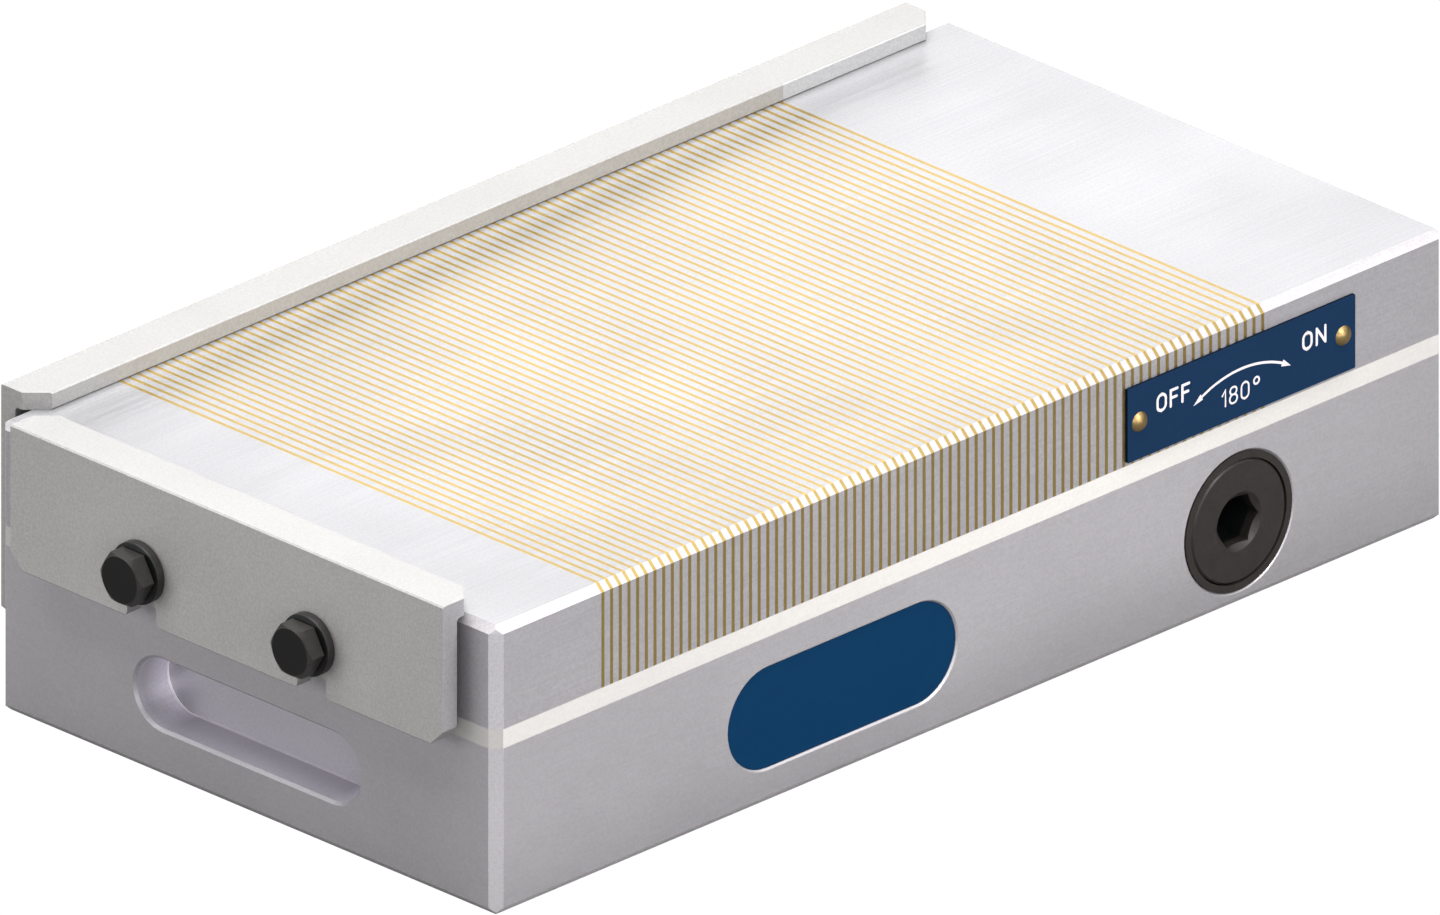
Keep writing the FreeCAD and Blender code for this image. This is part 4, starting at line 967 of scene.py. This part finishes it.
build_row_tree(row_tree)
LEFTWARD = turned_to((-1, 0, 0))
BACKWARD = turned_to((0, 1, 0))
FORWARD = turned_to((0, -1, 0))
washer = WASHER_HEIGHT * MM
end_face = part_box("end_stop_washers")[0].x
end_z = middle_z("end_stop_bolts")
end_step = (0, END_SPACING, 0)
rail_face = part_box("side_rail_washers")[1].y
rail_z = middle_z("side_rail_bolts")
rail_step = (RAIL_SPACING, 0, 0)
label_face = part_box("label_plate")[0].y
rivet_low, rivet_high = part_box("label_rivets")
rivet_first = (rivet_low.x + DOME_RADIUS * MM, label_face, middle_z("label_rivets"))
rivet_step = (rivet_high.x - rivet_low.x - 2 * DOME_RADIUS * MM, 0, 0)

fasteners = [
    fastener_row("end_stop_hex_bolts", bolt_master_end, 2, (end_face, -END_SPACING / 2, end_z),
                 end_step, LEFTWARD, bolt_black, "end_stop_bolts"),
    fastener_row("end_stop_thick_washers", washer_master, 2, (end_face + washer, -END_SPACING / 2, end_z),
                 end_step, LEFTWARD, washer_black, "end_stop_washers"),
    fastener_row("side_rail_hex_bolts", bolt_master_rail, 3, (-RAIL_SPACING, rail_face, rail_z),
                 rail_step, BACKWARD, bolt_black, "side_rail_bolts"),
    fastener_row("side_rail_thick_washers", washer_master, 3, (-RAIL_SPACING, rail_face - washer, rail_z),
                 rail_step, BACKWARD, washer_black, "side_rail_washers"),
    fastener_row("label_dome_rivets", rivet_master, 2, rivet_first,
                 rivet_step, FORWARD, rivet_brass, "label_rivets"),
]
for piece in fasteners:
    print(piece.name, "faces:", len(piece.data.polygons))
for master in (washer_master, rivet_master, bolt_master_end, bolt_master_rail):
    bpy.data.objects.remove(master)

# %% [markdown]
# The label says OFF and ON, with an arrow for the half turn between them. Engraver's letters are a
# stroke of one width with round ends, so each letter is a path, and a ribbon is laid along it. The
# ribbon is a hair thick and lies on the face of the label.

# %% Letters as ribbons
INK_THICKNESS = 0.02
INK_STEP = 0.004


def ribbon(shape, path, width, closed=False):
    """A flat ribbon with round ends along a path of (x, z) points in mm.

    Where two strokes cross, the later one lies a few microns higher, as a second stroke of ink does.
    """
    layer = -INK_STEP * sum(1 for vert in shape.verts if vert.tag)
    points = [Vector(point) for point in path]
    count = len(points)
    half = width / 2
    sides = []
    for index, point in enumerate(points):
        before = points[index - 1] if closed or index > 0 else None
        after = points[(index + 1) % count] if closed or index < count - 1 else None
        arriving = (point - before).normalized() if before is not None else (after - point).normalized()
        leaving = (after - point).normalized() if after is not None else arriving
        along = (arriving + leaving).normalized() if (arriving + leaving).length > 0.2 else arriving
        across = Vector((-along.y, along.x))
        stretch = min(1.6, 1 / max(0.3, across.dot(Vector((-leaving.y, leaving.x)))))
        sides.append((point + across * half * stretch, point - across * half * stretch))
    verts = [tuple(shape.verts.new((p.x, layer, p.y)) for p in pair) for pair in sides]
    verts[0][0].tag = True
    pairs = list(zip(verts, verts[1:])) + ([(verts[-1], verts[0])] if closed else [])
    for low, high in pairs:
        shape.faces.new([low[0], low[1], high[1], high[0]])
    if not closed:
        round_end(shape, verts[0], points[0], points[0] - points[1], half)
        round_end(shape, verts[-1], points[-1], points[-1] - points[-2], half)


def round_end(shape, pair, point, outward, half):
    start = math.atan2(outward.y, outward.x) - math.pi / 2
    fan = []
    for step in range(1, 6):
        turn = start + math.pi * step / 6
        place = (point.x + half * math.cos(turn), pair[0].co.y, point.y + half * math.sin(turn))
        fan.append(shape.verts.new(place))
    first, last = sorted(pair, key=lambda vert: (vert.co - fan[0].co).length)
    shape.faces.new([first, *fan, last])


def rounded_path(width, height, radius, steps=6):
    """The middle line of a rounded rectangle, from its lower left corner."""
    path = []
    corners = [((width - radius, radius), -90), ((width - radius, height - radius), 0),
               ((radius, height - radius), 90), ((radius, radius), 180)]
    for (x, z), start in corners:
        for step in range(steps + 1):
            turn = math.radians(start + 90 * step / steps)
            path.append((x + radius * math.cos(turn), z + radius * math.sin(turn)))
    return path


def letter(shape, name, x, z, width, height, stroke):
    """One letter or figure with its outer lower left corner at (x, z)."""
    half = stroke / 2
    w = width - stroke
    h = height - stroke

    def at(points):
        return [(x + half + px, z + half + pz) for px, pz in points]

    if name in "O0":
        ribbon(shape, at(rounded_path(w, h, w / 2)), stroke, closed=True)
    elif name == "F":
        ribbon(shape, at([(0, 0), (0, h), (w, h)]), stroke)
        ribbon(shape, at([(0, h * 0.52), (w * 0.86, h * 0.52)]), stroke)
    elif name == "N":
        ribbon(shape, at([(0, 0), (0, h)]), stroke)
        ribbon(shape, at([(0, h), (w, 0)]), stroke)
        ribbon(shape, at([(w, 0), (w, h)]), stroke)
    elif name == "1":
        ribbon(shape, at([(0, h * 0.70), (w, h), (w, 0)]), stroke)
    elif name == "8":
        upper = rounded_path(w * 0.88, h * 0.46, h * 0.225)
        lower = rounded_path(w, h * 0.54, h * 0.265)
        ribbon(shape, at([(px + w * 0.06, pz + h * 0.54) for px, pz in upper]), stroke, closed=True)
        ribbon(shape, at(lower), stroke, closed=True)


def raised(shape, title):
    """Give the flat ribbons their thickness, and set them on the label as one piece."""
    mesh = bpy.data.meshes.new(title)
    for vert in shape.verts:
        vert.co = vert.co * MM
        vert.co.y += label_face - INK_THICKNESS * MM
    made = bmesh.ops.extrude_face_region(shape, geom=list(shape.faces))
    for item in made["geom"]:
        if isinstance(item, bmesh.types.BMVert):
            item.co.y = label_face
    bmesh.ops.recalc_face_normals(shape, faces=shape.faces)
    shape.to_mesh(mesh)
    shape.free()
    mesh.materials.append(letter_white)
    piece = in_scene(title, mesh)
    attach(piece, "chuck_body")
    return piece


def word(title, text, x, z, widths, gap, height, stroke):
    shape = bmesh.new()
    for character in text:
        width = widths[character]
        letter(shape, character, x, z, width, height, stroke)
        x += width + gap
    print(title, "ends at x in mm:", round(x - gap, 2))
    return raised(shape, title)


BOLD = {"O": 2.30, "F": 1.95, "N": 2.35}
BOLD_HEIGHT = 3.20
BOLD_STROKE = 0.47
BOLD_FOOT = 39.50
THIN = {"1": 1.00, "8": 1.95, "0": 1.95}
THIN_HEIGHT = 3.10
THIN_STROKE = 0.32
THIN_FOOT = 35.60
word("label_word_off", "OFF", 40.40, BOLD_FOOT, BOLD, 0.62, BOLD_HEIGHT, BOLD_STROKE)
word("label_word_on", "ON", 72.60, BOLD_FOOT, BOLD, 0.68, BOLD_HEIGHT, BOLD_STROKE)
word("label_figures", "180", 54.80, THIN_FOOT, THIN, 0.62, THIN_HEIGHT, THIN_STROKE)

# %% [markdown]
# The degree ring and the double arrow are the same ribbon on round paths. The arrow is an arc with
# a plain triangle at each end, drawn a little wider than the line.

# %% Degree ring and double arrow
DEGREE_PLACE = (62.50, 38.00)
DEGREE_RADIUS = 0.58
DEGREE_STROKE = 0.34
DEGREE_STEPS = 24
ARC_RADIUS = 20.8
ARC_TOP = (59.30, 41.10)
ARC_STROKE = 0.42
ARC_STEPS = 16
TIP_REACH = 10.75
HEAD_LENGTH = 2.1
HEAD_WIDTH = 1.15


def round_way(middle, radius, turn):
    """The point at this turn, clockwise from straight up, on a circle."""
    return Vector(middle) + Vector((math.sin(turn), math.cos(turn))) * radius


degree = bmesh.new()
ring = [(DEGREE_PLACE[0] + DEGREE_RADIUS * math.cos(2 * math.pi * s / DEGREE_STEPS),
         DEGREE_PLACE[1] + DEGREE_RADIUS * math.sin(2 * math.pi * s / DEGREE_STEPS))
        for s in range(DEGREE_STEPS)]
ribbon(degree, ring, DEGREE_STROKE, closed=True)
raised(degree, "label_degree_ring")

arc_middle = (ARC_TOP[0], ARC_TOP[1] - ARC_RADIUS)
tip_turn = math.asin(TIP_REACH / ARC_RADIUS)
line_turn = tip_turn - 0.8 * HEAD_LENGTH / ARC_RADIUS
root_turn = tip_turn - HEAD_LENGTH / ARC_RADIUS
arrow = bmesh.new()
arc = [round_way(arc_middle, ARC_RADIUS, line_turn * s / ARC_STEPS)
       for s in range(-ARC_STEPS, ARC_STEPS + 1)]
ribbon(arrow, arc, ARC_STROKE)
for side in (-1, 1):
    corners = [round_way(arc_middle, ARC_RADIUS, side * tip_turn),
               round_way(arc_middle, ARC_RADIUS + HEAD_WIDTH / 2, side * root_turn),
               round_way(arc_middle, ARC_RADIUS - HEAD_WIDTH / 2, side * root_turn)]
    arrow.faces.new([arrow.verts.new((corner.x, -INK_STEP, corner.y)) for corner in corners])
raised(arrow, "label_double_arrow")
print("label pieces: 5")

# %% [markdown]
# The chuck stands on a wide, plain sheet. A product picture shows its ground as paper white, so the
# sheet glows evenly for the eye, while the light that it throws back onto the chuck is that of an
# ordinary dull sheet, with its soft dark edge at the foot.

# %% Pale ground
GROUND_ALBEDO = 0.12
GROUND_VARIATION = 0.01
HALF_GROUND = 6.0
GROUND_Z = -0.0001
ground_material, ground_tree, ground_shader = finish("pale_ground", (GROUND_ALBEDO,) * 3, 0.0, 0.9)
ground_tones = [(GROUND_ALBEDO + side * GROUND_VARIATION,) * 3 for side in (-1, 1)]
ground_colour = two_tones(ground_tree, noise(ground_tree, 3, detail=1.0), *ground_tones)
ground_glow = put(ground_tree, "ShaderNodeEmission", {"Strength": PAPER_WHITE})
ground_path = put(ground_tree, "ShaderNodeLightPath")
ground_mix = put(ground_tree, "ShaderNodeMixShader")
link(ground_tree, (ground_colour, ground_shader.inputs["Base Color"]),
     (ground_path.outputs["Is Camera Ray"], ground_mix.inputs["Fac"]),
     (ground_shader.outputs[0], ground_mix.inputs[1]), (ground_glow.outputs[0], ground_mix.inputs[2]),
     (ground_mix.outputs[0], ground_tree.nodes["Material Output"].inputs["Surface"]))
ground_mesh = bpy.data.meshes.new("pale_ground")
corners = [(-1, -1), (1, -1), (1, 1), (-1, 1)]
ground_points = [(x * HALF_GROUND, y * HALF_GROUND, GROUND_Z) for x, y in corners]
ground_mesh.from_pydata(ground_points, [], [(0, 1, 2, 3)])
ground_mesh.materials.append(ground_material)
ground = in_scene("pale_ground", ground_mesh)
print("ground is", 2 * HALF_GROUND, "m wide")
